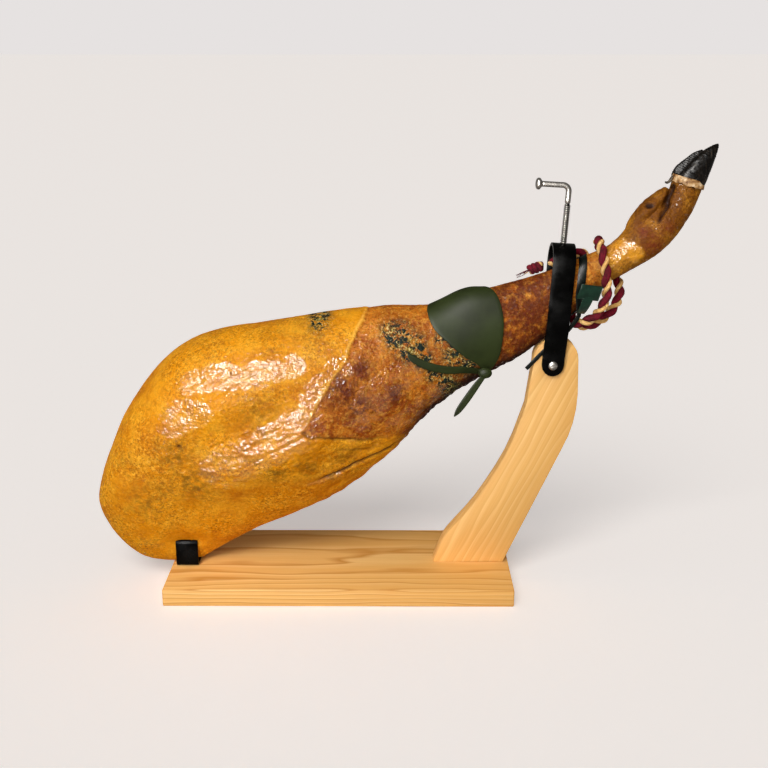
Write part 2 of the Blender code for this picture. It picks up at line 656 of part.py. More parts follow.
def make_seal_strap(look):
    """The flat strap that runs once round the shank and leaves downwards between the hoop and the arm."""
    first, last = SEAL_STRAP_TURNS
    middle, outward = [], []
    for i in range(SEAL_STRAP_RINGS):
        turn = last + (first - last) * i / (SEAL_STRAP_RINGS - 1)
        station = SEAL_STRAP_STATION + SEAL_STRAP_SKEW * math.cos(math.radians(turn))
        middle.append(ham_surface(station, turn, SEAL_STRAP_OFFSET))
        outward.append(ham_normal(station, turn))
    for p in spline_points(SEAL_TAIL, 3):
        middle.append(Vector(p) * MM)
        outward.append(Vector((0.0, -1.0, 0.0)))
    in_tail = len(middle) - SEAL_STRAP_RINGS
    widths = [SEAL_STRAP_WIDTH / 2] * SEAL_STRAP_RINGS + [SEAL_TAIL_WIDTH / 2] * in_tail
    bm = bmesh.new()
    ribbon(bm, middle, crosswise(middle, outward), outward, widths, SEAL_STRAP_THICKNESS)
    return new_object("seal_strap", bm, look)


def place_on_pivot(items, name):
    """Parents items, modelled about the hoop's pivot, to an empty that stands there with the hoop's lean."""
    holder = bpy.data.objects.new(name, None)
    bpy.context.scene.collection.objects.link(holder)
    holder.location = point(PIVOT[0], 0.0, PIVOT[1])
    holder.rotation_euler = (0.0, HOOP_LEAN, 0.0)
    for item in items:
        item.parent = holder
    return holder


def main():
    clear_scene()
    cured = material("cured fat and skin", "C8780F", 0.42)
    horn = material("hoof horn", "1B1A18", 0.35)
    pine = material("pine", "F2C078", 0.55)
    black_steel = material("black enamelled steel", "0C0B0B", 0.3)
    bright_steel = material("zinc-plated steel", "B9B6AE", 0.28, 1.0)
    card = material("green card", "33502A", 0.5)
    cotton = material("twisted cotton", "6E1325", 0.9)
    plastic = material("green plastic", "10352A", 0.4)

    pocket = make_bracket("bracket_pocket_guide", cured, spare=0.4)
    make_ham(cured, [pocket])
    make_hoof("hoof_near", HOOF_NEAR, HOOF_NEAR_TIP, -1, horn)
    make_hoof("hoof_far", HOOF_FAR, HOOF_FAR_TIP, 1, horn)
    make_board(pine)
    make_arm(pine)
    make_hoop_screw("hoop_screw_front", -1, bright_steel)
    make_hoop_screw("hoop_screw_back", 1, bright_steel)
    make_bracket("bracket", black_steel)
    hoop = make_hoop(black_steel)
    bolt_foot = make_bolt_foot(bright_steel)
    clamp_bolt = make_clamp_bolt(bright_steel)
    guides = [m.object for m in hoop.modifiers if m.type == "BOOLEAN"]
    place_on_pivot([hoop, bolt_foot, clamp_bolt] + guides, "hoop_pivot")
    make_label(card)
    make_rope(cotton)
    make_rope_knot(cotton)
    make_seal_tag(plastic)
    make_seal_strap(plastic)


main()
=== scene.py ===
import json
import math

import bmesh
import bpy
import numpy as np
from mathutils import Matrix, Vector, noise


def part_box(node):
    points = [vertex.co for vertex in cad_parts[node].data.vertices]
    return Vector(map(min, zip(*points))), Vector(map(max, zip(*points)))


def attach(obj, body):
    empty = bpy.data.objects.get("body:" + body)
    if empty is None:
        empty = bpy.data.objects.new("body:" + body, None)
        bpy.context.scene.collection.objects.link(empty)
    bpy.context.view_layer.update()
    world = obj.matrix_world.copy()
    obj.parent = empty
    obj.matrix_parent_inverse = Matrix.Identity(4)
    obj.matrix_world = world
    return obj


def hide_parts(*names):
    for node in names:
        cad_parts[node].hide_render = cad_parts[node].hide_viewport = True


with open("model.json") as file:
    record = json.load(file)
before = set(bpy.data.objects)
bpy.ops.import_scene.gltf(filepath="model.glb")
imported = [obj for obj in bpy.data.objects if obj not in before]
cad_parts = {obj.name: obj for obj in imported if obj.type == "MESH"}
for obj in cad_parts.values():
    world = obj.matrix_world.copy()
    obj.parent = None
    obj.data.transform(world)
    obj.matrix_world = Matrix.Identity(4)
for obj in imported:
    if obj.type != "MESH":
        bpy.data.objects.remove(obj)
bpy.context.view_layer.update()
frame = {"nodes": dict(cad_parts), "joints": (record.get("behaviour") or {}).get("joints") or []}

mm = 0.001


# small tools

def pick(*pieces):
    if bpy.context.mode != "OBJECT":
        bpy.ops.object.mode_set(mode="OBJECT")
    bpy.ops.object.select_all(action="DESELECT")
    for piece in pieces:
        piece.select_set(True)
    bpy.context.view_layer.objects.active = pieces[0]


def applyModifier(piece, kind, **settings):
    modifier = piece.modifiers.new(kind.lower(), kind)
    for name, value in settings.items():
        setattr(modifier, name, value)
    pick(piece)
    bpy.ops.object.modifier_apply(modifier=modifier.name)


def shadeSmooth(piece, degrees=180):
    # smooth all over, or only where the faces meet at less than that angle
    pick(piece)
    if degrees < 180:
        bpy.ops.object.shade_smooth_by_angle(angle=math.radians(degrees))
    else:
        bpy.ops.object.shade_smooth()


def addPiece(name, mesh):
    piece = bpy.data.objects.new(name, mesh)
    bpy.context.scene.collection.objects.link(piece)
    return piece


def pieceFrom(name, bm):
    mesh = bpy.data.meshes.new(name)
    bm.to_mesh(mesh)
    bm.free()
    return addPiece(name, mesh)


def copyOfNode(node, name):
    # a CAD node's mesh is loose triangles, so its copy is merged and turned back to quads
    mesh = frame["nodes"][node].data.copy()
    mesh.materials.clear()
    piece = addPiece(name, mesh)
    pick(piece)
    if mesh.has_custom_normals:
        bpy.ops.mesh.customdata_custom_splitnormals_clear()
    bpy.ops.object.mode_set(mode="EDIT")
    bpy.ops.mesh.select_all(action="SELECT")
    bpy.ops.mesh.remove_doubles(threshold=0.002 * mm)
    bpy.ops.mesh.tris_convert_to_quads(face_threshold=math.radians(50), shape_threshold=math.radians(60))
    bpy.ops.mesh.normals_make_consistent(inside=False)
    bpy.ops.object.mode_set(mode="OBJECT")
    return piece


def curveThrough(rows, steps):
    # a smooth line through the rows, steps points to each span
    rows = [np.array(row, float) for row in rows]
    rows = [2 * rows[0] - rows[1]] + rows + [2 * rows[-1] - rows[-2]]
    line = []
    for a, b, c, d in zip(rows, rows[1:], rows[2:], rows[3:]):
        for i in range(steps):
            f = i / steps
            line.append(0.5 * (2 * b + (c - a) * f + (2 * a - 5 * b + 4 * c - d) * f ** 2
                               + (3 * b - a - 3 * c + d) * f ** 3))
    line.append(rows[-2])
    return np.array(line)


def runsAlong(line):
    # how far along the line each point is
    return np.concatenate([[0], np.cumsum(np.linalg.norm(np.diff(line, axis=0), axis=1))])


def evenly(line, step):
    # the same line with its points step apart
    runs = runsAlong(line)
    count = max(int(round(runs[-1] / step)), 2)
    at = np.linspace(0, runs[-1], count + 1)
    return np.stack([np.interp(at, runs, line[:, k]) for k in range(line.shape[1])], axis=1)


def framesAlong(line):
    # tangent, normal and binormal at each point, turned as little as possible from one to the next
    tangents = np.gradient(line, axis=0)
    tangents /= np.linalg.norm(tangents, axis=1)[:, None]
    start = np.cross(tangents[0], (0.0, 1.0, 0.0))
    if np.linalg.norm(start) < 0.1:
        start = np.cross(tangents[0], (1.0, 0.0, 0.0))
    normal = start / np.linalg.norm(start)
    frames = []
    for tangent in tangents:
        normal = normal - tangent * normal.dot(tangent)
        normal = normal / np.linalg.norm(normal)
        frames.append((tangent, normal, np.cross(tangent, normal)))
    return frames


def addTube(bm, line, radius, sides, slot=0, ribs=0, ribDepth=0.0, ribPitch=1.0, taper=0.0):
    # a closed tube along line, in metres; ribs are raised yarns that wind round it
    uvLayer = bm.loops.layers.uv.verify()
    frames = framesAlong(line)
    runs = runsAlong(line)
    rings = []
    for k, (centre, (_, normal, binormal)) in enumerate(zip(line, frames)):
        ends = min(runs[k], runs[-1] - runs[k]) / (radius * 1.2)
        cap = math.sqrt(max(1 - (1 - min(ends, 1.0)) ** 2, 0.0)) * 0.97 + 0.03
        width = radius * cap * (1 - taper * runs[k] / runs[-1])
        ring = []
        for i in range(sides):
            angle = 2 * math.pi * i / sides
            rib = abs(math.cos(ribs / 2 * angle + math.pi * runs[k] / ribPitch)) - 0.6
            outward = normal * math.cos(angle) + binormal * math.sin(angle)
            ring.append(bm.verts.new(centre + outward * width * (1 + ribDepth * rib)))
        rings.append(ring)
    for k, (one, other) in enumerate(zip(rings, rings[1:])):
        for i in range(sides):
            j = (i + 1) % sides
            face = bm.faces.new((one[i], one[j], other[j], other[i]))
            face.material_index = slot
            face.smooth = True
            corners = ((k, i), (k, i + 1), (k + 1, i + 1), (k + 1, i))
            for loop, (row, column) in zip(face.loops, corners):
                loop[uvLayer].uv = (runs[row] * 1000, column / sides)
    for ring, flip in ((rings[0], True), (rings[-1], False)):
        face = bm.faces.new(reversed(ring) if flip else ring)
        face.material_index = slot
        face.smooth = True


# materials

def colour(hexValue):
    # sRGB hex to the linear values that sockets take
    channels = [int(hexValue[i:i + 2], 16) / 255 for i in (0, 2, 4)]
    return [c / 12.92 if c <= 0.04045 else ((c + 0.055) / 1.055) ** 2.4 for c in channels] + [1.0]


def perMm(size):
    # the texture scale whose features are that many millimetres across
    return 1000.0 / size


def addNode(tree, kind, inputs=None, stops=None, **settings):
    # an input is a socket to link, a value, or a colour's hex value; stops are a colour ramp's
    made = tree.nodes.new("ShaderNode" + kind)
    for name, value in settings.items():
        setattr(made, name, value)
    for name, value in (inputs or {}).items():
        if isinstance(value, bpy.types.NodeSocket):
            tree.links.new(value, made.inputs[name])
        else:
            made.inputs[name].default_value = colour(value) if isinstance(value, str) else value
    if stops:
        elements = made.color_ramp.elements
        while len(elements) < len(stops):
            elements.new(0.5)
        for element, (position, value) in zip(elements, stops):
            element.position = position
            element.color = colour(value)
    return made


def newMaterial(name, roughness, specular=0.5, metallic=0.0):
    # also its nodes, its shader and the place in the object that a pattern reads
    made = bpy.data.materials.new(name)
    made.use_nodes = True
    shader = made.node_tree.nodes["Principled BSDF"]
    shader.inputs["Roughness"].default_value = roughness
    shader.inputs["Specular IOR Level"].default_value = specular
    shader.inputs["Metallic"].default_value = metallic
    place = addNode(made.node_tree, "TexCoord").outputs["Object"]
    return made, made.node_tree, shader, place


def addPatterns(tree, patterns, spaces):
    # the noise of each pattern, and its strength if it has one; a pattern is the space that it lies in, its
    # size in mm, detail, roughness and distortion, then the noise from and to, and the strength at each
    noises, strengths = {}, {}
    for name, (space, size, detail, rough, distortion, *reach) in patterns.items():
        made = addNode(tree, "TexNoise", {"Vector": spaces[space], "Scale": perMm(size), "Detail": detail,
                                          "Roughness": rough, "Distortion": distortion})
        noises[name] = made.outputs["Fac"]
        if reach:
            strengths[name] = addNode(tree, "MapRange", {0: noises[name], **dict(enumerate(reach, 1))},
                                      clamp=True).outputs[0]
    return noises, strengths


def mottledMaterial(name, roughness, specular, patterns, tones, bump=None):
    # a colour that wanders between tones; bump is the strength and height in mm of the pattern grain
    made, tree, shader, place = newMaterial(name, roughness, specular)
    noises, _ = addPatterns(tree, patterns, {"all": place})
    tone = addNode(tree, "ValToRGB", {"Fac": noises["mottle"]}, tones)
    tree.links.new(tone.outputs["Color"], shader.inputs["Base Color"])
    if bump:
        raised = addNode(tree, "Bump", {"Height": noises["grain"], "Strength": bump[0],
                                        "Distance": bump[1] * mm})
        tree.links.new(raised.outputs[0], shader.inputs["Normal"])
    return made


# camera and light

view = {
    "place": (0.0557, -1.1735, 0.5842),
    "turn": (73.24, 0.0, 0.29),
    "lens": 52.05,
}
bpy.ops.object.camera_add(location=view["place"], rotation=[math.radians(a) for a in view["turn"]])
camera = bpy.context.object
camera.data.lens = view["lens"]
camera.data.sensor_width = 36.0
bpy.context.scene.camera = camera
bpy.context.scene.view_settings.view_transform = "Standard"

studio = {
    "floorColour": "F6F4F5",
    "floorSize": 300.0,
    # the paper is lit by itself, evenly, so that it has no horizon
    "floorGlow": 0.44,
    # what the camera sees beyond the floor, and the dimmer room light that falls on everything
    "wallColour": "E6E2E1",
    "roomColour": "FFF9F2",
    "roomStrength": 0.2,
    # a broad even light from in front and above, wide enough for soft shadows
    "keyFrom": (-0.20, -0.68, 0.70),
    "keyStrength": 1.42,
    "keyWidth": 34.0,
    "keyColour": "FFFAF2",
}
# place, target, width, height, power and colour of each soft box, and how much stronger its reflection is
softBoxes = [
    ((-0.36, -0.92, 1.04), (-0.08, -0.05, 0.25), 0.54, 0.38, 6.5, "FFFCF8", 21.0),
    ((-0.45, -1.38, 0.46), (-0.08, -0.05, 0.20), 0.66, 0.28, 4.4, "FFFCF8", 32.0),
    ((1.0, -0.6, 0.9), (0.25, 0.0, 0.35), 0.2, 0.4, 0.9, "FFFAF4", 1.2),
]


def aimed(place, target):
    return (Vector(target) - Vector(place)).to_track_quat("-Z", "Y").to_euler()


def buildStudio():
    bpy.ops.mesh.primitive_plane_add(size=studio["floorSize"], location=(0, 0, 0))
    floor = bpy.context.object
    floor.name = "floor"
    paper, tree, shader, _ = newMaterial("paper backdrop", 0.95, 0.1)
    shader.inputs["Base Color"].default_value = colour(studio["floorColour"])
    shader.inputs["Emission Color"].default_value = colour(studio["wallColour"])
    seen = addNode(tree, "LightPath").outputs["Is Camera Ray"]
    glow = addNode(tree, "Math", {0: seen, 1: studio["floorGlow"]}, operation="MULTIPLY")
    tree.links.new(glow.outputs[0], shader.inputs["Emission Strength"])
    floor.data.materials.append(paper)
    unlit = bpy.data.collections.new("not lit by the soft boxes")
    unlit.objects.link(floor)
    unlit.collection_objects[0].light_linking.link_state = "EXCLUDE"
    world = bpy.data.worlds.new("studio")
    bpy.context.scene.world = world
    world.use_nodes = True
    tree = world.node_tree
    room = tree.nodes["Background"]
    room.inputs["Color"].default_value = colour(studio["roomColour"])
    room.inputs["Strength"].default_value = studio["roomStrength"]
    wall = addNode(tree, "Background", {"Color": colour(studio["wallColour"]), "Strength": 1.0})
    seen = addNode(tree, "LightPath").outputs["Is Camera Ray"]
    both = addNode(tree, "MixShader", {0: seen, 1: room.outputs[0], 2: wall.outputs[0]})
    tree.links.new(both.outputs[0], tree.nodes["World Output"].inputs["Surface"])
    bpy.ops.object.light_add(type="SUN", location=studio["keyFrom"])
    key = bpy.context.object
    key.rotation_euler = aimed(studio["keyFrom"], (0, 0, 0))
    key.data.energy = studio["keyStrength"]
    key.data.angle = math.radians(studio["keyWidth"])
    key.data.color = colour(studio["keyColour"])[:3]
    key.visible_glossy = False
    for place, target, width, height, power, tint, shine in softBoxes:
        # one lamp lights the surfaces and its twin is seen only in their gloss
        for glossy in (False, True):
            bpy.ops.object.light_add(type="AREA", location=place)
            lamp = bpy.context.object
            lamp.rotation_euler = aimed(place, target)
            lamp.data.shape = "RECTANGLE"
            lamp.data.size = width
            lamp.data.size_y = height
            lamp.data.energy = power * (shine if glossy else 1.0)
            lamp.data.color = colour(tint)[:3]
            lamp.visible_glossy = glossy
            lamp.visible_diffuse = not glossy
            lamp.light_linking.receiver_collection = unlit


buildStudio()
print("studio ready")


# the rope and its knot

# a twisted carrying cord of cotton: fuzzy, without gloss, each strand spun of finer yarns
rope = {
    # the cord's own line, in millimetres, from its front end to its knot
    "route": [(251, -7, 301), (259, -10, 303), (270, -16, 308), (279, -22, 319), (284, -25, 334),
              (284, -25, 348), (282, -24, 364), (279, -14, 382), (278, 0, 389.5), (280, 13, 385),
              (286, 21, 374), (294, 22, 362), (301, 18, 350), (305, 10, 337), (301, 1, 323),
              (292, -4, 312), (281, -4, 303), (269, 1, 297), (260, 10, 299), (257, 19, 307),
              (260, 26, 321), (264, 28, 341), (268, 25, 358), (266.5, 20.6, 372), (260, 15.4, 374.2),
              (252.5, 10.4, 372.0), (245, 9.8, 369.3), (238, 10.2, 366.6), (227, 11.6, 362.6)],
    "diameter": 11.4,
    "pitch": 24.0,
    # radius and distance from the middle of each strand
    "strands": {"dark": (3.65, 1.95), "pale": (2.15, 3.3)},
    "step": 1.1,
    "sides": 20,
    "yarns": 8,
    "yarnDepth": 0.16,
    "yarnPitch": 4.5,
    "startTurn": 40.0,
}
cottonColours = {"dark": ("3E0510", "800F28"), "pale": ("CF9A50", "EFC987")}


def makeCotton(name, shades):
    cotton, tree, shader, place = newMaterial(name, 0.95, 0.04)
    along = addNode(tree, "Mapping", {"Vector": place.node.outputs["UV"], "Scale": (0.35, 9.0, 1.0)})
    fibre = addNode(tree, "TexNoise", {"Vector": along.outputs[0], "Scale": 6.0, "Detail": 4.0})
    patches = addNode(tree, "TexNoise", {"Vector": place, "Scale": perMm(7.0), "Detail": 2.0})
    both = addNode(tree, "Math", {0: fibre.outputs["Fac"], 1: patches.outputs["Fac"]}, operation="ADD")
    half = addNode(tree, "Math", {0: both.outputs[0], 1: 0.5}, operation="MULTIPLY")
    tone = addNode(tree, "ValToRGB", {"Fac": half.outputs[0]}, [(0.38, shades[0]), (0.62, shades[1])])
    tree.links.new(tone.outputs["Color"], shader.inputs["Base Color"])
    bump = addNode(tree, "Bump", {"Height": fibre.outputs["Fac"], "Strength": 0.6, "Distance": 0.25 * mm})
    tree.links.new(bump.outputs[0], shader.inputs["Normal"])
    return cotton


def addStrand(bm, line, radius, slot):
    addTube(bm, np.array(line) * mm, radius * mm, rope["sides"], slot, rope["yarns"], rope["yarnDepth"],
            rope["yarnPitch"] * mm)


def makeRope():
    line = evenly(curveThrough(rope["route"], 12), rope["step"])
    frames = framesAlong(line)
    bm = bmesh.new()
    for k, (radius, offset) in enumerate(rope["strands"].values()):
        strand = []
        for i, (centre, (_, normal, binormal)) in enumerate(zip(line, frames)):
            turn = math.radians(rope["startTurn"] + 180 * k + 360 * i * rope["step"] / rope["pitch"])
            strand.append(centre + (normal * math.cos(turn) + binormal * math.sin(turn)) * offset)
        addStrand(bm, strand, radius, k)
    piece = pieceFrom("carryingRope", bm)
    for look in cotton.values():
        piece.data.materials.append(look)
    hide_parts("rope")
    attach(piece, "root")
    return piece, line * mm


knot = {
    "turns": 3.3,
    "length": 15.0,
    "coilRadius": 3.3,
    "strandRadius": 2.9,
    "slope": 18.0,
    "threads": 9,
    "threadRadius": 0.45,
    "threadLength": 17.0,
}


def makeKnot():
    low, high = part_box("rope_knot")
    centre = (low + high) / 2 / mm
    along = Vector((math.cos(math.radians(knot["slope"])), 0.0, math.sin(math.radians(knot["slope"]))))
    side = Vector((0.0, 1.0, 0.0))
    up = side.cross(along) * -1
    bm = bmesh.new()
    for pale, start, turns in ((0, 0.0, knot["turns"]), (1, 200.0, 0.9)):
        coil = []
        for i in range(60):
            f = i / 59
            angle = math.radians(start) + 2 * math.pi * turns * f
            reach = knot["coilRadius"] * (0.75 + 0.25 * math.sin(math.pi * f)) * (1.15 if pale else 1.0)
            place = centre + along * (knot["length"] * (f - 0.5)) + side * (reach * math.cos(angle))
            coil.append(place + up * (reach * math.sin(angle)))
        addStrand(bm, coil, knot["strandRadius"] * (0.8 if pale else 1.0), pale)
    start = centre - along * (knot["length"] * 0.4)
    for i in range(knot["threads"]):
        spread = (i / (knot["threads"] - 1) - 0.5) * 2
        tip = start - along * knot["threadLength"] * (0.75 + 0.25 * math.cos(3.1 * i))
        tip += side * (4.0 * math.sin(2.3 * i)) + up * (1.6 * spread - 2.6)
        middle = (start + tip) / 2 + up * (1.2 * math.cos(1.7 * i))
        line = curveThrough([start + side * spread * 2.0, middle, tip], 8)
        addTube(bm, line * mm, knot["threadRadius"] * mm, 8, 1 if i % 4 == 1 else 0, taper=0.5)
    piece = pieceFrom("ropeKnot", bm)
    for look in cotton.values():
        piece.data.materials.append(look)
    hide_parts("rope_knot")
    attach(piece, "root")
    return piece


cotton = {shade: makeCotton(f"spun cotton, {shade}", shades) for shade, shades in cottonColours.items()}
ropePiece, ropeLine = makeRope()
knotPiece = makeKnot()


# the ham

# dry-cured leg of ham: firm, oily yellow fat where the rind was trimmed off, and rust-brown pebbled
# rind left on the shank; the oil gives broad wet highlights that break up on the fine wrinkles
ham = {
    "voxel": 1.65,
    "smoothing": 6,
    # the edge of the fat down the side, x and z in millimetres, and on along the fold below the rind
    "fatEdge": [(34, 326), (29, 312), (21, 299), (13.7, 284), (9.5, 271), (-3.6, 253), (-15.8, 234),
                (-26.6, 214), (-36, 197)],
    "lowerEdge": [(-36, 197), (-28, 191.5), (-15, 190), (11, 184.5), (34, 181), (52, 180), (70, 176),
                  (92, 170)],
    "longCrease": [(-31, 129), (-13, 137), (1, 141.5), (11, 147), (20, 151.5), (47, 161), (66, 171)],
    "innerFold": [(-10, 176), (12, 171), (32, 168), (50, 170)],
    "edgeLip": 0.25,
    # how far the fat's surface drops at the edge of the rind
    "edgeStep": 1.3,
    # the lower muscle's roundness, and the hollow above it, along the leg
    "muscle": 8.5,
    "hollow": 4.0,
    "hole": (-168.4, 180.3),
    "slit": [(350, 448), (346, 436), (342.5, 426), (336, 413.5)],
    "dewclawHole": (326.3, 428.3),
    # centre, reach and strength of the olive stains on the fat
    "stains": [(-174, 171, 20, 0.8), (-158, 137, 24, 0.9), (-66, 151, 15, 0.8), (-36, 156, 20, 0.7),
               (-228, 158, 12, 0.6), (-212, 109, 22, 0.7), (-190, 128, 16, 0.6), (-84, 216, 26, 0.6),
               (-20, 300, 26, 0.5), (-70, 292, 20, 0.35), (6, 160, 18, 0.6), (-140, 290, 22, 0.3)],
    # middle line, half width and strength of each band where the oil stands
    "wetBands": [([(-160, 249), (-120, 254), (-75, 260), (-44, 267)], 9.5, 1.0),
                 ([(-174, 207), (-150, 217)], 14, 0.9),
                 ([(-128, 152), (-92, 168), (-62, 187), (-34, 204)], 17, 1.0),
                 ([(-146, 205), (-106, 230), (-60, 236)], 11, 0.3),
                 ([(-26, 232), (2, 262)], 12, 0.7), ([(-30, 128), (-12, 133), (0, 138)], 4, 0.9),
                 ([(286, 372), (300, 383), (312, 380)], 9, 0.5),
                 ([(25, 210), (45, 235), (75, 255)], 16, 0.6), ([(60, 195), (110, 232)], 10, 0.5)],
    # centre and reach of the red-brown patches on the rind, and of each patch of mould
    "redPatches": [(8, 240, 24), (24, 222, 20), (28, 262, 15), (62, 232, 14), (190, 322, 16),
                   (333, 390, 13), (344, 404, 8), (322, 402, 8)],
    "mould": [(66, 292, 14), (80, 282, 15), (92, 268, 10), (56, 298, 10), (127, 272, 14), (139, 262, 11),
              (116, 246, 11), (104, 252, 9), (122, 232, 9), (-19, 310, 11), (112, 290, 8)],
    # centre, reach and strength of the golden patch above the rope: a painted highlight, paler than the fat
    # around it
    "golden": [(292, 366, 17, 0.9)],
    # how steeply the leg rises, in degrees, and the height of the board's top, where the ham stays flat
    "slope": 27,
    "boardTop": 20.3,
}


def smoothStep(low, high, values):
    f = np.clip((values - low) / (high - low), 0.0, 1.0)
    return f * f * (3 - 2 * f)


def nearLine(points, rows, steps=6):
    # how far each point is from the line through rows, on which side, and how far along the line
    line = curveThrough(rows, steps)
    best = np.full(len(points), 1e9)
    side = np.zeros(len(points))
    along = np.zeros(len(points))
    for k, (a, b) in enumerate(zip(line, line[1:])):
        run = b - a
        f = np.clip(((points - a) @ run) / (run @ run), 0.0, 1.0)
        off = points - (a + f[:, None] * run)
        distance = np.linalg.norm(off, axis=1)
        closer = distance < best
        best = np.where(closer, distance, best)
        side = np.where(closer, np.sign(run[0] * off[:, 1] - run[1] * off[:, 0]), side)
        along = np.where(closer, (k + f) / (len(line) - 1), along)
    return best, side, along


def inside(points, corners):
    found = np.zeros(len(points), bool)
    for (ax, az), (bx, bz) in zip(corners, corners[1:] + corners[:1]):
        if az == bz:
            continue
        crosses = (points[:, 1] > az) != (points[:, 1] > bz)
        found ^= crosses & (points[:, 0] < (bx - ax) * (points[:, 1] - az) / (bz - az) + ax)
    return found


def noiseAt(points, size, seed=0.0):
    # smooth noise from about -1 to 1 whose features are size across; size may differ by axis
    scaled = points / np.array(size, float) + seed
    return np.array([noise.noise(p) for p in scaled])


def bulge(distance, width):
    return np.exp(-(distance / width) ** 2)


def spotsAt(points, spots):
    # the strongest of the round spots at each point; a spot has its centre, its reach and maybe its strength
    found = np.zeros(len(points))
    for spotX, spotZ, reach, *strength in spots:
        distance = np.linalg.norm(points - np.array([spotX, spotZ]), axis=1)
        found = np.maximum(found, (strength or [1.0])[0] * bulge(distance, reach))
    return found


def setAttribute(piece, name, values):
    layer = piece.data.attributes.new(name, "FLOAT", "POINT")
    layer.data.foreach_set("value", np.asarray(values, np.float32))


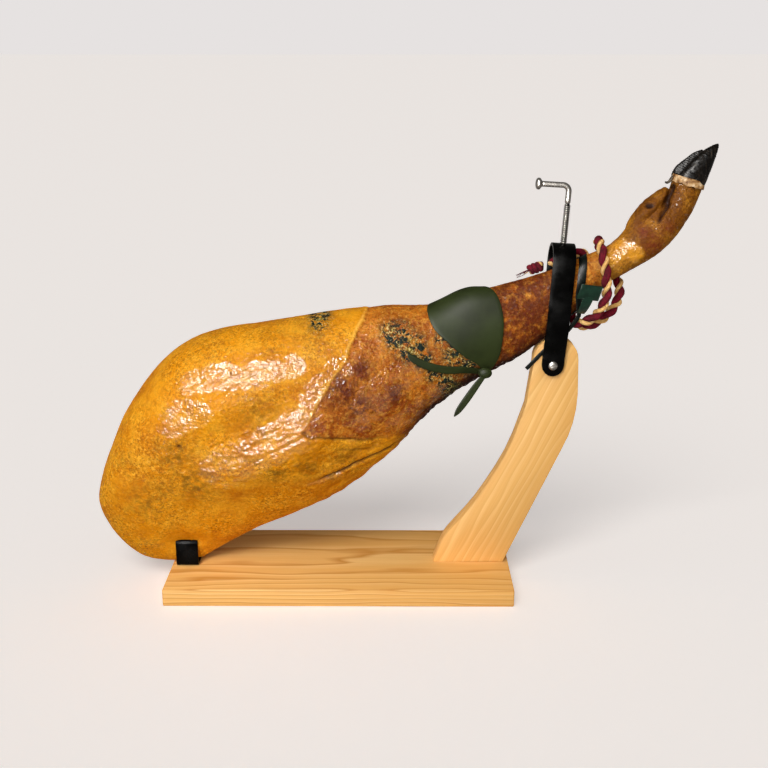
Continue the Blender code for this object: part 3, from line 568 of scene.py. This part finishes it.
def makeHam():
    piece = copyOfNode("ham", "curedHam")
    applyModifier(piece, "SUBSURF", levels=2, render_levels=2)
    applyModifier(piece, "REMESH", mode="VOXEL", voxel_size=ham["voxel"] * mm, adaptivity=0.0)
    applyModifier(piece, "SMOOTH", factor=0.5, iterations=ham["smoothing"])
    mesh = piece.data
    count = len(mesh.vertices)
    co = np.zeros(count * 3)
    mesh.vertices.foreach_get("co", co)
    normals = np.zeros(count * 3)
    mesh.vertices.foreach_get("normal", normals)
    normals = normals.reshape(-1, 3)
    places = co.reshape(-1, 3) / mm
    x, y, z = places.T
    # the hidden side has the same features, shifted a little
    back = smoothStep(0.0, 30.0, y)
    flat = np.stack([x + back * 9 * np.sin(z / 23), z + back * 6 * np.sin(x / 31)], axis=1)
    wobble = np.stack([noiseAt(places, 9, 3.1), noiseAt(places, 9, 8.7)], axis=1)
    flat = flat + wobble * 1.3

    edge, _, edgeAlong = nearLine(flat, ham["fatEdge"])
    lower, _, lowerAlong = nearLine(flat, ham["lowerEdge"])
    corners = ham["fatEdge"] + ham["lowerEdge"][1:] + [(420, 60), (420, 560), (34, 560)]
    within = np.where(inside(flat, corners), 1.0, -1.0)
    border = np.minimum(edge, lower) * within
    soft = 1.6 + 5.0 * smoothStep(20, 70, x) * smoothStep(-1, 1, edge - lower)
    rind = smoothStep(-0.5, 1.0, border / soft)

    crease, creaseSide, creaseAlong = nearLine(flat, ham["longCrease"])
    creaseFade = smoothStep(0.0, 0.2, creaseAlong) * (1 - smoothStep(0.93, 1.0, creaseAlong))
    fold, _, foldAlong = nearLine(flat, ham["innerFold"])
    foldFade = np.sin(math.pi * np.clip(foldAlong, 0, 1))
    slit, _, slitAlong = nearLine(flat, ham["slit"])
    slitFade = 1 - smoothStep(0.85, 1.0, slitAlong)
    lowerFade = 1 - smoothStep(0.55, 0.8, lowerAlong)
    front = 1 - back
    steady = flat - wobble * 1.3
    hole = np.linalg.norm(steady - np.array(ham["hole"]), axis=1)
    dewclaw = np.linalg.norm((steady - np.array(ham["dewclawHole"])) * (0.75, 1.25), axis=1)

    lip = bulge(edge + within, 1.35) * (1 - smoothStep(0.97, 1.0, edgeAlong) * 0.5)
    relief = ham["edgeLip"] * lip
    relief -= ham["edgeStep"] * smoothStep(0, 3, border) * np.exp(-np.maximum(border, 0) / 26)
    # each groove and the swelling beside it: distance from its middle, height, half width and fading
    grooves = [(lower, -1.7, 1.8, lowerFade), (lower + 4 * within, 0.8, 2.6, lowerFade),
               (crease, -2.6, 1.7, creaseFade), (crease - 4.2, 1.7, 2.8, creaseFade * (creaseSide < 0)),
               (fold, -1.1, 2.2, foldFade), (hole, -2.0, 1.7, front), (slit, -4.2, 2.0, slitFade),
               (slit - 4.5, 1.0, 2.0, slitFade), (dewclaw, -2.6, 3.0, front), (dewclaw - 5, 0.7, 1.5, front)]
    for distance, height, width, fade in grooves:
        relief += height * bulge(distance, width) * fade

    # broad unevenness, muscle wrinkles along the leg, and the pebbles of the rind
    body = 1 - smoothStep(110, 230, x)
    clear = 1 - bulge(x - 234, 34)
    relief += (1.3 * noiseAt(places, 47, 1.3) + 0.5 * noiseAt(places, 19, 5.2)) * (0.25 + 0.75 * body) * clear
    tilt = math.radians(ham["slope"])
    alongLeg = x * math.cos(tilt) + z * math.sin(tilt)
    acrossLeg = -x * math.sin(tilt) + z * math.cos(tilt)
    legPlaces = np.stack([alongLeg, y, acrossLeg], axis=1)
    wrinkleZone = np.exp(-(((alongLeg - 5) / 74) ** 2 + ((acrossLeg - 199) / 26) ** 2) ** 1.5)
    flesh = (1 - rind) * smoothStep(-60, -10, x) * (1 - smoothStep(185, 200, z))
    wrinkles = np.abs(noiseAt(legPlaces, (26, 12, 6.0), 2.2))
    fineWrinkles = np.abs(noiseAt(legPlaces, (11, 8, 3.4), 7.7))
    relief -= (3.6 * wrinkles + 2.4 * fineWrinkles) * np.clip(wrinkleZone + 0.22 * flesh, 0, 1)
    relief += 2.4 * noiseAt(legPlaces, (19, 12, 11), 6.1) * flesh
    stretch = np.exp(-((alongLeg - 8) / 78) ** 4) * front
    relief += ham["muscle"] * bulge(acrossLeg - 179, 27) * stretch
    relief -= ham["hollow"] * bulge(acrossLeg - 226, 17) * stretch * (1 - rind)
    upper = np.exp(-(((alongLeg + 10) / 80) ** 2 + ((acrossLeg - 276) / 16) ** 2) ** 1.5)
    relief -= 2.2 * np.abs(noiseAt(legPlaces, (14, 8, 4.5), 4.4)) * upper
    patch = np.exp(-(((x + 176) / 27) ** 2 + ((z - 168) / 42) ** 2) ** 1.5)
    relief += (1.0 * noiseAt(places, 8, 9.1) + 0.5 * noiseAt(places, 4.4, 4.8)) * patch
    pebbles = 0.30 * noiseAt(places, 5.0, 6.6) + 0.35 * noiseAt(places, 9.0, 3.9)
    relief += pebbles * rind * (0.4 + 0.6 * clear)
    relief += 0.16 * noiseAt(places, 4.4, 1.9) * (1 - rind)

    # painted shade: the shank's downward faces are darkened, and they also get rougher bumps
    shadedUnderside = smoothStep(0.2, 0.66, -normals[:, 2] + 0.12 * noiseAt(places, 9, 4.2))
    shadedUnderside = shadedUnderside * smoothStep(50, 95, x) * (1 - smoothStep(240, 290, x))
    relief += (0.9 * bulge(shadedUnderside - 0.5, 0.25) + 1.3 * noiseAt(places, 5, 2.7)) * shadedUnderside * clear
    relief *= smoothStep(ham["boardTop"] + 0.3, ham["boardTop"] + 3.7, z)
    places = places + normals * relief[:, None]
    places[:, 2] = np.maximum(places[:, 2], ham["boardTop"])
    mesh.vertices.foreach_set("co", (places * mm).ravel())
    mesh.update()

    # painted shade: the creases, grooves, slit and holes are darkened through the mask dark
    dark = np.maximum.reduce([0.9 * bulge(crease, 1.5) * creaseFade, bulge(lower, 1.5) * lowerFade * 0.8,
                              bulge(slit, 1.9), bulge(hole, 2.1) * front,
                              (1 - smoothStep(2.3, 4.2, dewclaw)) * front, 0.5 * bulge(fold, 1.6) * foldFade])
    wet = 0.12 + 0.12 * rind * (1 - smoothStep(90, 130, x))
    for rows, width, amount in ham["wetBands"]:
        distance = nearLine(flat + wobble * 4, rows, 3)[0]
        wet = np.maximum(wet, amount * smoothStep(width * 1.7, width * 0.6, distance))
    reddened = 0.9 * smoothStep(100, 150, x) * (1 - smoothStep(225, 262, x))
    # what the material reads at each point of the surface
    masks = {
        "rind": rind,
        # the lip mask also carries the golden patch above the rope, a painted highlight
        "lip": np.maximum(lip * (1 - smoothStep(0.9, 1.0, edgeAlong)), spotsAt(flat, ham["golden"])),
        "dark": dark,
        "mould": spotsAt(flat, ham["mould"]) * (1 - 0.7 * back),
        "stain": spotsAt(flat, ham["stains"]) * (1 - 0.5 * back),
        "red": np.maximum(spotsAt(flat, ham["redPatches"]), reddened) * np.maximum(rind, x > 262),
        "wet": wet * (1 - 0.9 * dark) * (1 - 0.6 * back),
        "shadedUnderside": shadedUnderside,
        "foot": smoothStep(262, 315, x),
    }
    for name, values in masks.items():
        setAttribute(piece, name, values)
    shadeSmooth(piece)
    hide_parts("ham")
    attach(piece, "root")
    return piece


# what lies in the space "leg" is drawn out along the leg
hamPatterns = {
    "broad": ("all", 85, 2, 0.5, 0.0, 0.4, 0.62, 0.0, 1.0),
    "cloudy": ("all", 26, 4, 0.6, 0.6, 0.42, 0.68, 0.0, 0.85),
    "blotches": ("all", 14, 4, 0.6, 0.9, 0.5, 0.66, 0.0, 0.55),
    "grained": ("all", 42, 2, 0.5, 0.0, 0.38, 0.6, 0.25, 1.0),
    "flecks": ("all", 3.6, 3, 0.6, 0.0, 0.49, 0.62, 0.0, 0.6),
    "grain": ("all", 2.4, 3, 0.7, 0.0, 0.47, 0.63, 0.0, 0.72),
    "streaks": ("leg", 11, 5, 0.65, 0.8, 0.52, 0.72, 0.0, 0.6),
    "crust": ("all", 7, 5, 0.7, 0.0, 0.4, 0.62, 0.0, 1.0),
    "rusty": ("all", 19, 4, 0.6, 0.0, 0.4, 0.62, 0.0, 1.0),
    "golden": ("all", 4.2, 4, 0.7, 0.0, 0.48, 0.66, 0.0, 0.62),
    "reddish": ("all", 8, 4, 0.65, 0.0, 0.3, 0.54, 0.0, 1.0),
    "pores": ("all", 2.2, 3, 0.6, 0.0, 0.53, 0.66, 0.0, 0.52),
    "ragged": ("all", 5, 3, 0.5, 0.0, 0.3, 0.55, 0.0, 0.75),
    "film": ("all", 6, 3, 0.6, 0.0, 0.42, 0.6, 0.0, 0.8),
    "specks": ("all", 2.3, 2, 0.6, 0.0, 0.55, 0.62, 0.0, 1.0),
    "tufts": ("all", 5.4, 3, 0.7, 0.6, 0.47, 0.54, 0.0, 1.0),
    "patchy": ("leg", 6.5, 4, 0.7, 0.3, 0.4, 0.5, 0.0, 1.0),
    "drops": ("all", 3.4, 3, 0.6, 0.0, 0.61, 0.67, 0.0, 0.8),
    "wrinkles": ("leg", 8.0, 3, 0.55, 0.6),
    "pebbles": ("all", 3.4, 1, 0.5, 0.0),
    "skinGrain": ("all", 1.0, 2, 0.6, 0.0),
}
# masks brought into another range: the mask, from and to, and the value at each
hamRanges = {
    # the foot is painted lighter and more golden where the oil stands: a painted sheen
    "paintedSheen": ("wet", 0.2, 0.5, 0.0, 0.8),
    "mouldy": ("mould", 0.1, 0.5, 0.0, 1.0),
    "roughness": ("oily", 0.15, 0.5, 0.66, 0.09),
    "specular": ("oily", 0.3, 0.6, 0.02, 0.9),
    "wrinkles": ("wet", 0.0, 0.8, 0.3, 1.0),
    "pebbles": ("rind", 0.0, 1.0, 0.7, 1.0),
    "skinGrain": ("oily", 0.0, 0.5, 0.5, 0.02),
}
# each surface's ground colour, then its layers: pattern, the mask that it is kept to, and colour; the mould
# grows in green-black tufts, with pale yellow-green specks between them
hamCoats = {
    "fat": ("C57600", [("broad", "", "E09000"), ("cloudy", "", "E9A622"), ("blotches", "", "B86604"),
                       ("flecks", "grained", "F9BC34"), ("grain", "grained", "8A4A00"),
                       ("streaks", "wet", "70500C"), ("crust", "stain", "70500C")]),
    "rind": ("96480C", [("rusty", "", "C4731C"), ("golden", "", "E0A43C"), ("reddish", "red", "5C2206"),
                        ("pores", "", "3E1C08")]),
    # E29C26 on the foot where the oil stands is a painted sheen
    "foot": ("7A470A", [("cloudy", "", "C28422"), ("grain", "", "5E3410"), ("reddish", "red", "743214"),
                        ("paintedSheen", "", "E29C26")]),
    # EDB54A, where it falls on the golden patch above the rope, is a painted highlight
    "whole": ("fat", [("rind", "", "rind"), ("ragged", "lip", "EDB54A"), ("foot", "", "foot"),
                      # 2C1410 on the shank's downward faces is painted shade
                      ("shadedUnderside", "", "2C1410"), ("film", "mould", "55602A"), ("specks", "mould", "D9C77E"),
                      # 2E1508 in the creases, grooves, slit and holes is painted shade
                      ("tufts", "mouldy", "14241E"), ("dark", "", "2E1508")]),
}
# each bump's pattern and its height in mm: wrinkles where the fat is wet, pebbles that are strongest on the
# rind, and a fine grain where it is dry
hamBumps = {"wrinkles": 1.9, "pebbles": 1.5, "skinGrain": 0.25}


def makeHamMaterial():
    # dry to the touch with a soft sheen, and much glossier where the oil stands on it
    cured, tree, shader, place = newMaterial("cured ham fat and rind", 0.46)
    leg = addNode(tree, "Mapping", {"Vector": place, "Rotation": (0.0, math.radians(ham["slope"]), 0.0),
                                    "Scale": (0.45, 1.0, 1.0)}).outputs[0]
    parts = {name: addNode(tree, "Attribute", attribute_name=name).outputs["Fac"]
             for name in ("rind", "lip", "dark", "mould", "shadedUnderside", "foot", "stain", "red", "wet")}
    noises, strengths = addPatterns(tree, hamPatterns, {"all": place, "leg": leg})
    parts.update(strengths)
    standing = addNode(tree, "Math", {0: parts["wet"], 1: parts["patchy"]}, operation="MULTIPLY").outputs[0]
    parts["oily"] = addNode(tree, "Math", {0: standing, 1: parts["drops"]}, operation="MAXIMUM").outputs[0]
    for name, (mask, *values) in hamRanges.items():
        parts[name] = addNode(tree, "MapRange", {0: parts[mask], **dict(enumerate(values, 1))},
                              clamp=True).outputs[0]
    shades = {}
    for name, (ground, layers) in hamCoats.items():
        shade = shades.get(ground, ground)
        for pattern, mask, tint in layers:
            factor = parts[pattern]
            if mask:
                factor = addNode(tree, "Math", {0: factor, 1: parts[mask]}, operation="MULTIPLY").outputs[0]
            shade = addNode(tree, "Mix", {0: factor, 6: shade, 7: shades.get(tint, tint)},
                            data_type="RGBA").outputs[2]
        shades[name] = shade
    tree.links.new(shades["whole"], shader.inputs["Base Color"])
    tree.links.new(parts["roughness"], shader.inputs["Roughness"])
    tree.links.new(parts["specular"], shader.inputs["Specular IOR Level"])
    under = {}
    for name, height in hamBumps.items():
        bump = addNode(tree, "Bump", {"Height": noises[name], "Strength": parts[name],
                                      "Distance": height * mm, **under})
        under = {"Normal": bump.outputs[0]}
    tree.links.new(under["Normal"], shader.inputs["Normal"])
    return cured


hamPiece = makeHam()
hamPiece.data.materials.append(makeHamMaterial())
print("ham ready, faces:", len(hamPiece.data.polygons))

# the hoof and the torn collar of skin at its base

# horn: near-black keratin that grew in rings, worn glossy, with pale scuffs and lines
hoof = {
    "ringSpacing": 2.3,
    "ringDepth": 0.14,
    "axis": (0.42, 0.0, 0.91),
    "wear": 0.35,
    "tones": [(0.35, "070606"), (0.6, "17130F"), (0.76, "3E342A")],
    "scuff": "8C8375",
    "patterns": {
        "streaks": ("axis", 2.4, 4, 0.5, 0.0),
        "scuffs": ("all", 4.5, 6, 0.72, 0.0, 0.62, 0.72, 0.0, 0.55),
        "gloss": ("all", 4.5, 6, 0.72, 0.0, 0.4, 0.7, 0.2, 0.55),
    },
}
# the skin torn off at the hoof's base: thin, dry and pale, with a ragged lower edge that stands off
collar = {
    "centre": (366.9, 451.2),
    "axis": (0.26, 0.966),
    "halfHeight": 16.3,
    "halfThickness": 16.4,
    # how far along the axis each ring lies and how much wider than the leg's end it is
    "rings": [(-2.8, 1.09), (-1.6, 1.10), (0.0, 1.08), (1.8, 1.06), (3.6, 1.04), (5.4, 1.015)],
    "segments": 72,
    "thickness": 0.8,
    "tones": [(0.36, "70471D"), (0.5, "BC925E"), (0.64, "E6CDA8")],
    "patterns": {"mottle": ("all", 7.0, 5, 0.5, 0.0), "grain": ("all", 7.0, 5, 0.5, 0.0)},
}
# a curled strip of the same skin that dried grey
shred = {
    "route": [(352, 0, 458), (349.4, -2.2, 455.6), (347, -3.2, 452.8), (344.6, -3.0, 451.4),
              (342.6, -2.4, 452.6)],
    "radius": 2.1,
    "tones": [(0.35, "2E2923"), (0.65, "6E6456")],
    "patterns": {"mottle": ("all", 3.0, 4, 0.5, 0.0)},
}


def makeHoofMaterial():
    horn, tree, shader, place = newMaterial("worn hoof horn", 0.3, 0.08)
    along = addNode(tree, "Mapping", {"Vector": place, "Rotation": (0, math.radians(-25), 0),
                                      "Scale": (1.0, 1.0, 0.14)}).outputs[0]
    noises, strengths = addPatterns(tree, hoof["patterns"], {"all": place, "axis": along})
    tone = addNode(tree, "ValToRGB", {"Fac": noises["streaks"]}, hoof["tones"]).outputs["Color"]
    scuffed = addNode(tree, "Mix", {0: strengths["scuffs"], 6: tone, 7: hoof["scuff"]}, data_type="RGBA")
    bump = addNode(tree, "Bump", {"Height": noises["streaks"], "Strength": 0.4, "Distance": 0.3 * mm})
    tree.links.new(scuffed.outputs[2], shader.inputs["Base Color"])
    tree.links.new(strengths["gloss"], shader.inputs["Roughness"])
    tree.links.new(bump.outputs[0], shader.inputs["Normal"])
    return horn


def makeHooves():
    look = makeHoofMaterial()
    for node in ("hoof_near", "hoof_far"):
        piece = copyOfNode(node, node + "_horn")
        applyModifier(piece, "SUBSURF", levels=3, render_levels=3)
        mesh = piece.data
        axis = Vector(hoof["axis"]).normalized()
        for vertex in mesh.vertices:
            place = vertex.co / mm
            rings = math.sin(2 * math.pi * (place.dot(axis) + noise.noise(place / 9)) / hoof["ringSpacing"])
            wear = noise.noise(place / 3.5) * hoof["wear"]
            vertex.co += vertex.normal * (rings * hoof["ringDepth"] + wear) * mm
        mesh.materials.append(look)
        shadeSmooth(piece)
        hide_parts(node)
        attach(piece, "root")


def makeCollar():
    x, z = collar["centre"]
    axis = Vector((collar["axis"][0], 0.0, collar["axis"][1])).normalized()
    up = Vector((-axis.z, 0.0, axis.x))
    bm = bmesh.new()
    rings = []
    for k, (ahead, wide) in enumerate(collar["rings"]):
        ring = []
        for i in range(collar["segments"]):
            angle = 2 * math.pi * i / collar["segments"]
            ragged = noise.noise((math.cos(angle) * 3.2, math.sin(angle) * 3.2, 7.0))
            torn = noise.noise((math.cos(angle) * 8.0, math.sin(angle) * 8.0, 2.0))
            loose = max(1 - k / 3, 0.0)
            drop = loose * (2.4 * ragged + 1.1 * torn)
            reach = wide * (1 + 0.035 * loose * ragged + 0.02 * torn)
            place = Vector((x, 0.0, z)) + axis * (ahead + drop)
            place += up * (collar["halfHeight"] * reach * math.cos(angle))
            place += Vector((0.0, -collar["halfThickness"] * reach * math.sin(angle), 0.0))
            ring.append(bm.verts.new(place * mm))
        rings.append(ring)
    for one, other in zip(rings, rings[1:]):
        for i in range(collar["segments"]):
            j = (i + 1) % collar["segments"]
            bm.faces.new((one[i], one[j], other[j], other[i]))
    bmesh.ops.recalc_face_normals(bm, faces=bm.faces)
    piece = pieceFrom("tornCollar", bm)
    applyModifier(piece, "SOLIDIFY", thickness=collar["thickness"] * mm, offset=0.0)
    applyModifier(piece, "SUBSURF", levels=1, render_levels=1)
    shadeSmooth(piece)

    piece.data.materials.append(mottledMaterial("dry torn skin", 0.6, 0.06, collar["patterns"],
                                                collar["tones"], (0.6, 0.5)))
    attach(piece, "root")


def makeShred():
    bm = bmesh.new()
    addTube(bm, curveThrough(shred["route"], 8) * mm, shred["radius"] * mm, 12, taper=0.45)
    piece = pieceFrom("curledShred", bm)
    piece.data.materials.append(mottledMaterial("dried grey skin", 0.8, 0.04, shred["patterns"],
                                                shred["tones"]))
    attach(piece, "root")


makeHooves()
makeCollar()
makeShred()
print("hoof and collar ready")


# the stand

# pine: pale yellow, planed and left bare, with thin orange late-wood lines; the lines are the growth
# rings of the trunk, cut lengthwise, so each piece has its own centre of the trunk
wood = {
    "early": "F0C47C",
    "middle": "E8B468",
    "fibre": "DBA256",
    "cloud": "E0A04C",
    # the bending and the clouds are much longer along the trunk than across it, and the fibres longer still
    "patterns": {
        "bend": ("trunk", 38.0, 2, 0.5, 0.0),
        "fibre": ("fibres", 1.3, 3, 0.5, 0.0, 0.35, 0.75, 0.0, 0.5),
        "cloud": ("trunk", 55.0, 2, 0.5, 0.0, 0.45, 0.7, 0.0, 0.4),
    },
}
# each piece's turn about Y, the place of its trunk's middle in turned coordinates and its ring spacing in mm
planks = {
    "board": {"turn": 0.0, "pith": (0.0, 14.0, -190.0), "spacing": 4.4, "sway": 7.0, "late": "C98839"},
    "arm": {"turn": 64.0, "pith": (0.0, 58.0, -30.0), "spacing": 8.5, "sway": 14.0, "late": "E2AE63"},
}


def makePine(name, plank):
    pine, tree, shader, place = newMaterial(name, 0.6, 0.06)
    turn = (0.0, math.radians(plank["turn"]), 0.0)
    turned = addNode(tree, "Mapping", {"Vector": place, "Rotation": turn}).outputs[0]
    spaces = {name: addNode(tree, "Mapping", {"Vector": turned, "Scale": (squeeze, 1.0, 1.0)}).outputs[0]
              for name, squeeze in (("trunk", 0.16), ("fibres", 0.02))}
    noises, strengths = addPatterns(tree, wood["patterns"], spaces)
    centred = addNode(tree, "VectorMath", {0: noises["bend"].node.outputs["Color"], 1: (0.5, 0.5, 0.5)},
                      operation="SUBTRACT")
    swayed = addNode(tree, "VectorMath", {0: centred.outputs[0], 3: 2 * plank["sway"] * mm},
                     operation="SCALE")
    moved = addNode(tree, "VectorMath", {0: turned, 1: swayed.outputs[0]}, operation="ADD")
    aroundPith = addNode(tree, "Mapping", {"Vector": moved.outputs[0],
                                           "Location": [-value * mm for value in plank["pith"]]})
    # a wave of scale 1 has a ring every 0.314 m
    rings = addNode(tree, "TexWave", {"Vector": aroundPith.outputs[0], "Scale": 314.16 / plank["spacing"]},
                    wave_type="RINGS", rings_direction="X", wave_profile="SAW")
    tone = addNode(tree, "ValToRGB", {"Fac": rings.outputs["Fac"]},
                   [(0.0, wood["early"]), (0.45, wood["middle"]), (0.72, wood["middle"]),
                    (0.9, plank["late"]), (1.0, wood["early"])])
    shade = tone.outputs["Color"]
    for name in ("fibre", "cloud"):
        shade = addNode(tree, "Mix", {0: strengths[name], 6: shade, 7: wood[name]},
                        data_type="RGBA").outputs[2]
    tree.links.new(shade, shader.inputs["Base Color"])
    grain = addNode(tree, "Bump", {"Height": noises["fibre"], "Strength": 0.25, "Distance": 0.2 * mm})
    tree.links.new(grain.outputs[0], shader.inputs["Normal"])
    return pine


def makeStandPiece(node, name, look, bevel=0.0, body="root", degrees=35):
    # the node's own shape with its edges rounded, bevel in mm
    piece = copyOfNode(node, name)
    if bevel:
        applyModifier(piece, "BEVEL", width=bevel * mm, segments=2, limit_method="ANGLE",
                      angle_limit=math.radians(40), harden_normals=False)
    shadeSmooth(piece, degrees)
    piece.data.materials.append(look)
    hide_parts(node)
    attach(piece, body)
    return piece


for plankNode, plankName in (("board", "pineBoard"), ("arm", "pineArm")):
    plankLook = makePine("planed pine, " + plankNode, planks[plankNode])
    makeStandPiece(plankNode, plankName, plankLook)
print("board and arm ready")


# the steel of the stand

# black stove enamel on bent strip steel: smooth and glossy, with small bright spots that are partly worn
# chips and partly painted glints
enamel = {
    "base": "020202",
    "glintAndChip": "A9A49A",
    "patterns": {
        "smears": ("all", 16.0, 5, 0.5, 0.0, 0.35, 0.7, 0.16, 0.38),
        "glintsAndChips": ("all", 3.1, 3, 0.7, 0.0, 0.755, 0.775, 0.0, 1.0),
        "peel": ("all", 2.2, 2, 0.5, 0.0),
    },
}
# zinc plated steel: bright grey with soft stains, and painted shade in the bolt's thread
zinc = {
    "tones": [(0.35, "5E5B57"), (0.6, "918E89")],
    "groove": "1E1C1A",
    "patterns": {"stains": ("all", 5.0, 5, 0.65, 0.0, 0.3, 0.7, 0.42, 0.24)},
}


def makeEnamel():
    black, tree, shader, place = newMaterial("black stove enamel", 0.24, 0.045)
    noises, strengths = addPatterns(tree, enamel["patterns"], {"all": place})
    # the pale spots are worn chips and painted glints
    glintedAndChipped = addNode(tree, "Mix", {0: strengths["glintsAndChips"], 6: enamel["base"], 7: enamel["glintAndChip"]},
                      data_type="RGBA")
    bump = addNode(tree, "Bump", {"Height": noises["peel"], "Strength": 0.12, "Distance": 0.1 * mm})
    tree.links.new(glintedAndChipped.outputs[2], shader.inputs["Base Color"])
    tree.links.new(strengths["smears"], shader.inputs["Roughness"])
    tree.links.new(bump.outputs[0], shader.inputs["Normal"])
    return black


def makeZinc():
    steel, tree, shader, place = newMaterial("zinc plated steel", 0.3, metallic=1.0)
    noises, strengths = addPatterns(tree, zinc["patterns"], {"all": place})
    tone = addNode(tree, "ValToRGB", {"Fac": noises["stains"]}, zinc["tones"])
    # painted shade in the thread's grooves, darker the deeper the groove
    groove = addNode(tree, "Attribute", attribute_name="groove").outputs["Fac"]
    shadedGrooves = addNode(tree, "Mix", {0: groove, 6: tone.outputs["Color"], 7: zinc["groove"]}, data_type="RGBA")
    tree.links.new(shadedGrooves.outputs[2], shader.inputs["Base Color"])
    tree.links.new(strengths["stains"], shader.inputs["Roughness"])
    return steel


# the bolt in its own upright frame: millimetres over the pivot, and along the crank
bolt = {
    "radius": 3.0,
    "threadDepth": 0.5,
    "threadPitch": 2.0,
    "threadFrom": 112.2,
    "threadTo": 174.0,
    "crankHeight": 192.5,
    "bend": 6.5,
    "crankEnd": 33.0,
    "sides": 28,
    # the head's radii and their distances along the crank
    "head": [(2.8, 27.8), (3.3, 28.9), (5.2, 30.2), (6.0, 30.9), (6.2, 31.6), (6.2, 32.6), (5.8, 33.7),
             (4.9, 34.6), (3.4, 35.2), (1.6, 35.5), (0.2, 35.55)],
}


def makeBolt(look):
    joint = next(j for j in frame["joints"] if j["name"] == "bolt_turn")
    pivot, axis = Vector(joint["pos_m"]), Vector(joint["axis"])
    upright = Matrix.Translation(pivot) @ Matrix.Rotation(math.atan2(axis.x, axis.z), 4, "Y")
    bm = bmesh.new()
    count = int((bolt["threadTo"] - bolt["threadFrom"]) / bolt["threadPitch"] * 8)
    heights = np.linspace(bolt["threadFrom"], bolt["threadTo"], count)
    thread = np.stack([0 * heights, 0 * heights, heights], axis=1) * mm
    addTube(bm, thread, bolt["radius"] * mm, bolt["sides"], ribs=1, ribDepth=bolt["threadDepth"],
            ribPitch=-bolt["threadPitch"] * mm)
    top, bend = bolt["crankHeight"], bolt["bend"]
    line = [(0, 0, height) for height in np.linspace(bolt["threadTo"] - 2.5, top - bend, 6)]
    for i in range(1, 13):
        angle = math.pi / 2 * i / 12
        line.append((-bend + bend * math.cos(angle), 0, top - bend + bend * math.sin(angle)))
    line += [(-along, 0, top) for along in np.linspace(bend + 2, bolt["crankEnd"], 8)]
    addTube(bm, np.array(line, float) * mm, bolt["radius"] * mm, bolt["sides"])
    rod = pieceFrom("crankBolt", bm)

    bpy.ops.mesh.primitive_circle_add(vertices=40, radius=bolt["head"][0][0] * mm, fill_type="NGON",
                                      location=(-bolt["head"][0][1] * mm, 0, top * mm),
                                      rotation=(0, -math.pi / 2, 0))
    head = bpy.context.object
    pick(head)
    bpy.ops.object.transform_apply(location=True, rotation=True, scale=True)
    bpy.ops.object.mode_set(mode="EDIT")
    bpy.ops.mesh.select_all(action="SELECT")
    for (radius, along), (nextRadius, nextAlong) in zip(bolt["head"], bolt["head"][1:]):
        bpy.ops.mesh.extrude_region_move(TRANSFORM_OT_translate={"value": ((along - nextAlong) * mm, 0, 0)})
        bpy.ops.transform.resize(value=(1, nextRadius / radius, nextRadius / radius))
    bpy.ops.mesh.select_all(action="SELECT")
    bpy.ops.mesh.normals_make_consistent(inside=False)
    bpy.ops.object.mode_set(mode="OBJECT")
    pick(rod, head)
    bpy.ops.object.join()
    # painted shade darkens the thread's grooves
    places = np.array([tuple(vertex.co) for vertex in rod.data.vertices]) / mm
    depth = (bolt["radius"] - np.hypot(places[:, 0], places[:, 1])) / bolt["threadDepth"] + 0.5
    threaded = (places[:, 2] > bolt["threadFrom"] + 0.5) & (places[:, 2] < bolt["threadTo"] - 0.5)
    setAttribute(rod, "groove", np.where(threaded, np.clip(depth, 0, 1), 0))
    rod.data.transform(upright)
    shadeSmooth(rod, 50)
    rod.data.materials.append(look)
    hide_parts("clamp_bolt")
    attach(rod, "clamp_bolt")


black = makeEnamel()
steel = makeZinc()
makeStandPiece("hoop", "enamelledHoop", black, 0.5, "hoop")
makeStandPiece("bracket", "enamelledBracket", black, 0.7)
for zincNode, zincName, zincBody in (("hoop_screw_front", "slottedScrewFront", "root"),
                                     ("hoop_screw_back", "slottedScrewBack", "root"),
                                     ("bolt_foot", "pressureCup", "bolt_foot")):
    makeStandPiece(zincNode, zincName, steel, 0.15, zincBody)
makeBolt(steel)
print("steel ready")


# the card label and the plastic seal

def creaseSharp(piece, degrees, amount):
    bm = bmesh.new()
    bm.from_mesh(piece.data)
    layer = bm.edges.layers.float.new("crease_edge")
    for edge in bm.edges:
        if len(edge.link_faces) == 2 and edge.calc_face_angle() > math.radians(degrees):
            edge[layer] = amount
    bm.to_mesh(piece.data)
    bm.free()


# coated card, dyed dark green: satin, with a faint grain, and left without print
label = {
    "tones": [(0.35, "222A0F"), (0.65, "2E3818")],
    "patterns": {"mottle": ("all", 30.0, 4, 0.5, 0.0), "grain": ("all", 0.9, 2, 0.5, 0.0)},
}


def makeLabel():
    piece = copyOfNode("label", "greenLabel")
    creaseSharp(piece, 50, 0.85)
    applyModifier(piece, "SUBSURF", levels=2, render_levels=2)
    shadeSmooth(piece)
    piece.data.materials.append(mottledMaterial("coated green card", 0.5, 0.04, label["patterns"],
                                                label["tones"], (0.15, 0.1)))
    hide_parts("label")
    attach(piece, "root")


# moulded plastic with a dull shine; the seal's thicker plate looks greener than its strap
seal = {
    "seal_tag": {"name": "sealPlate", "bevel": 0.25, "tones": [(0.3, "12281E"), (0.7, "1D3C2E")]},
    "seal_strap": {"name": "sealStrap", "bevel": 0.15, "tones": [(0.3, "030705"), (0.7, "08120D")]},
}


def makeSeal():
    for node, part in seal.items():
        green = mottledMaterial("moulded green polypropylene, " + node, 0.26, 0.12,
                                {"mottle": ("all", 9.0, 3, 0.5, 0.0)}, part["tones"])
        makeStandPiece(node, part["name"], green, part["bevel"], degrees=50)


makeLabel()
makeSeal()
print("label and seal ready")
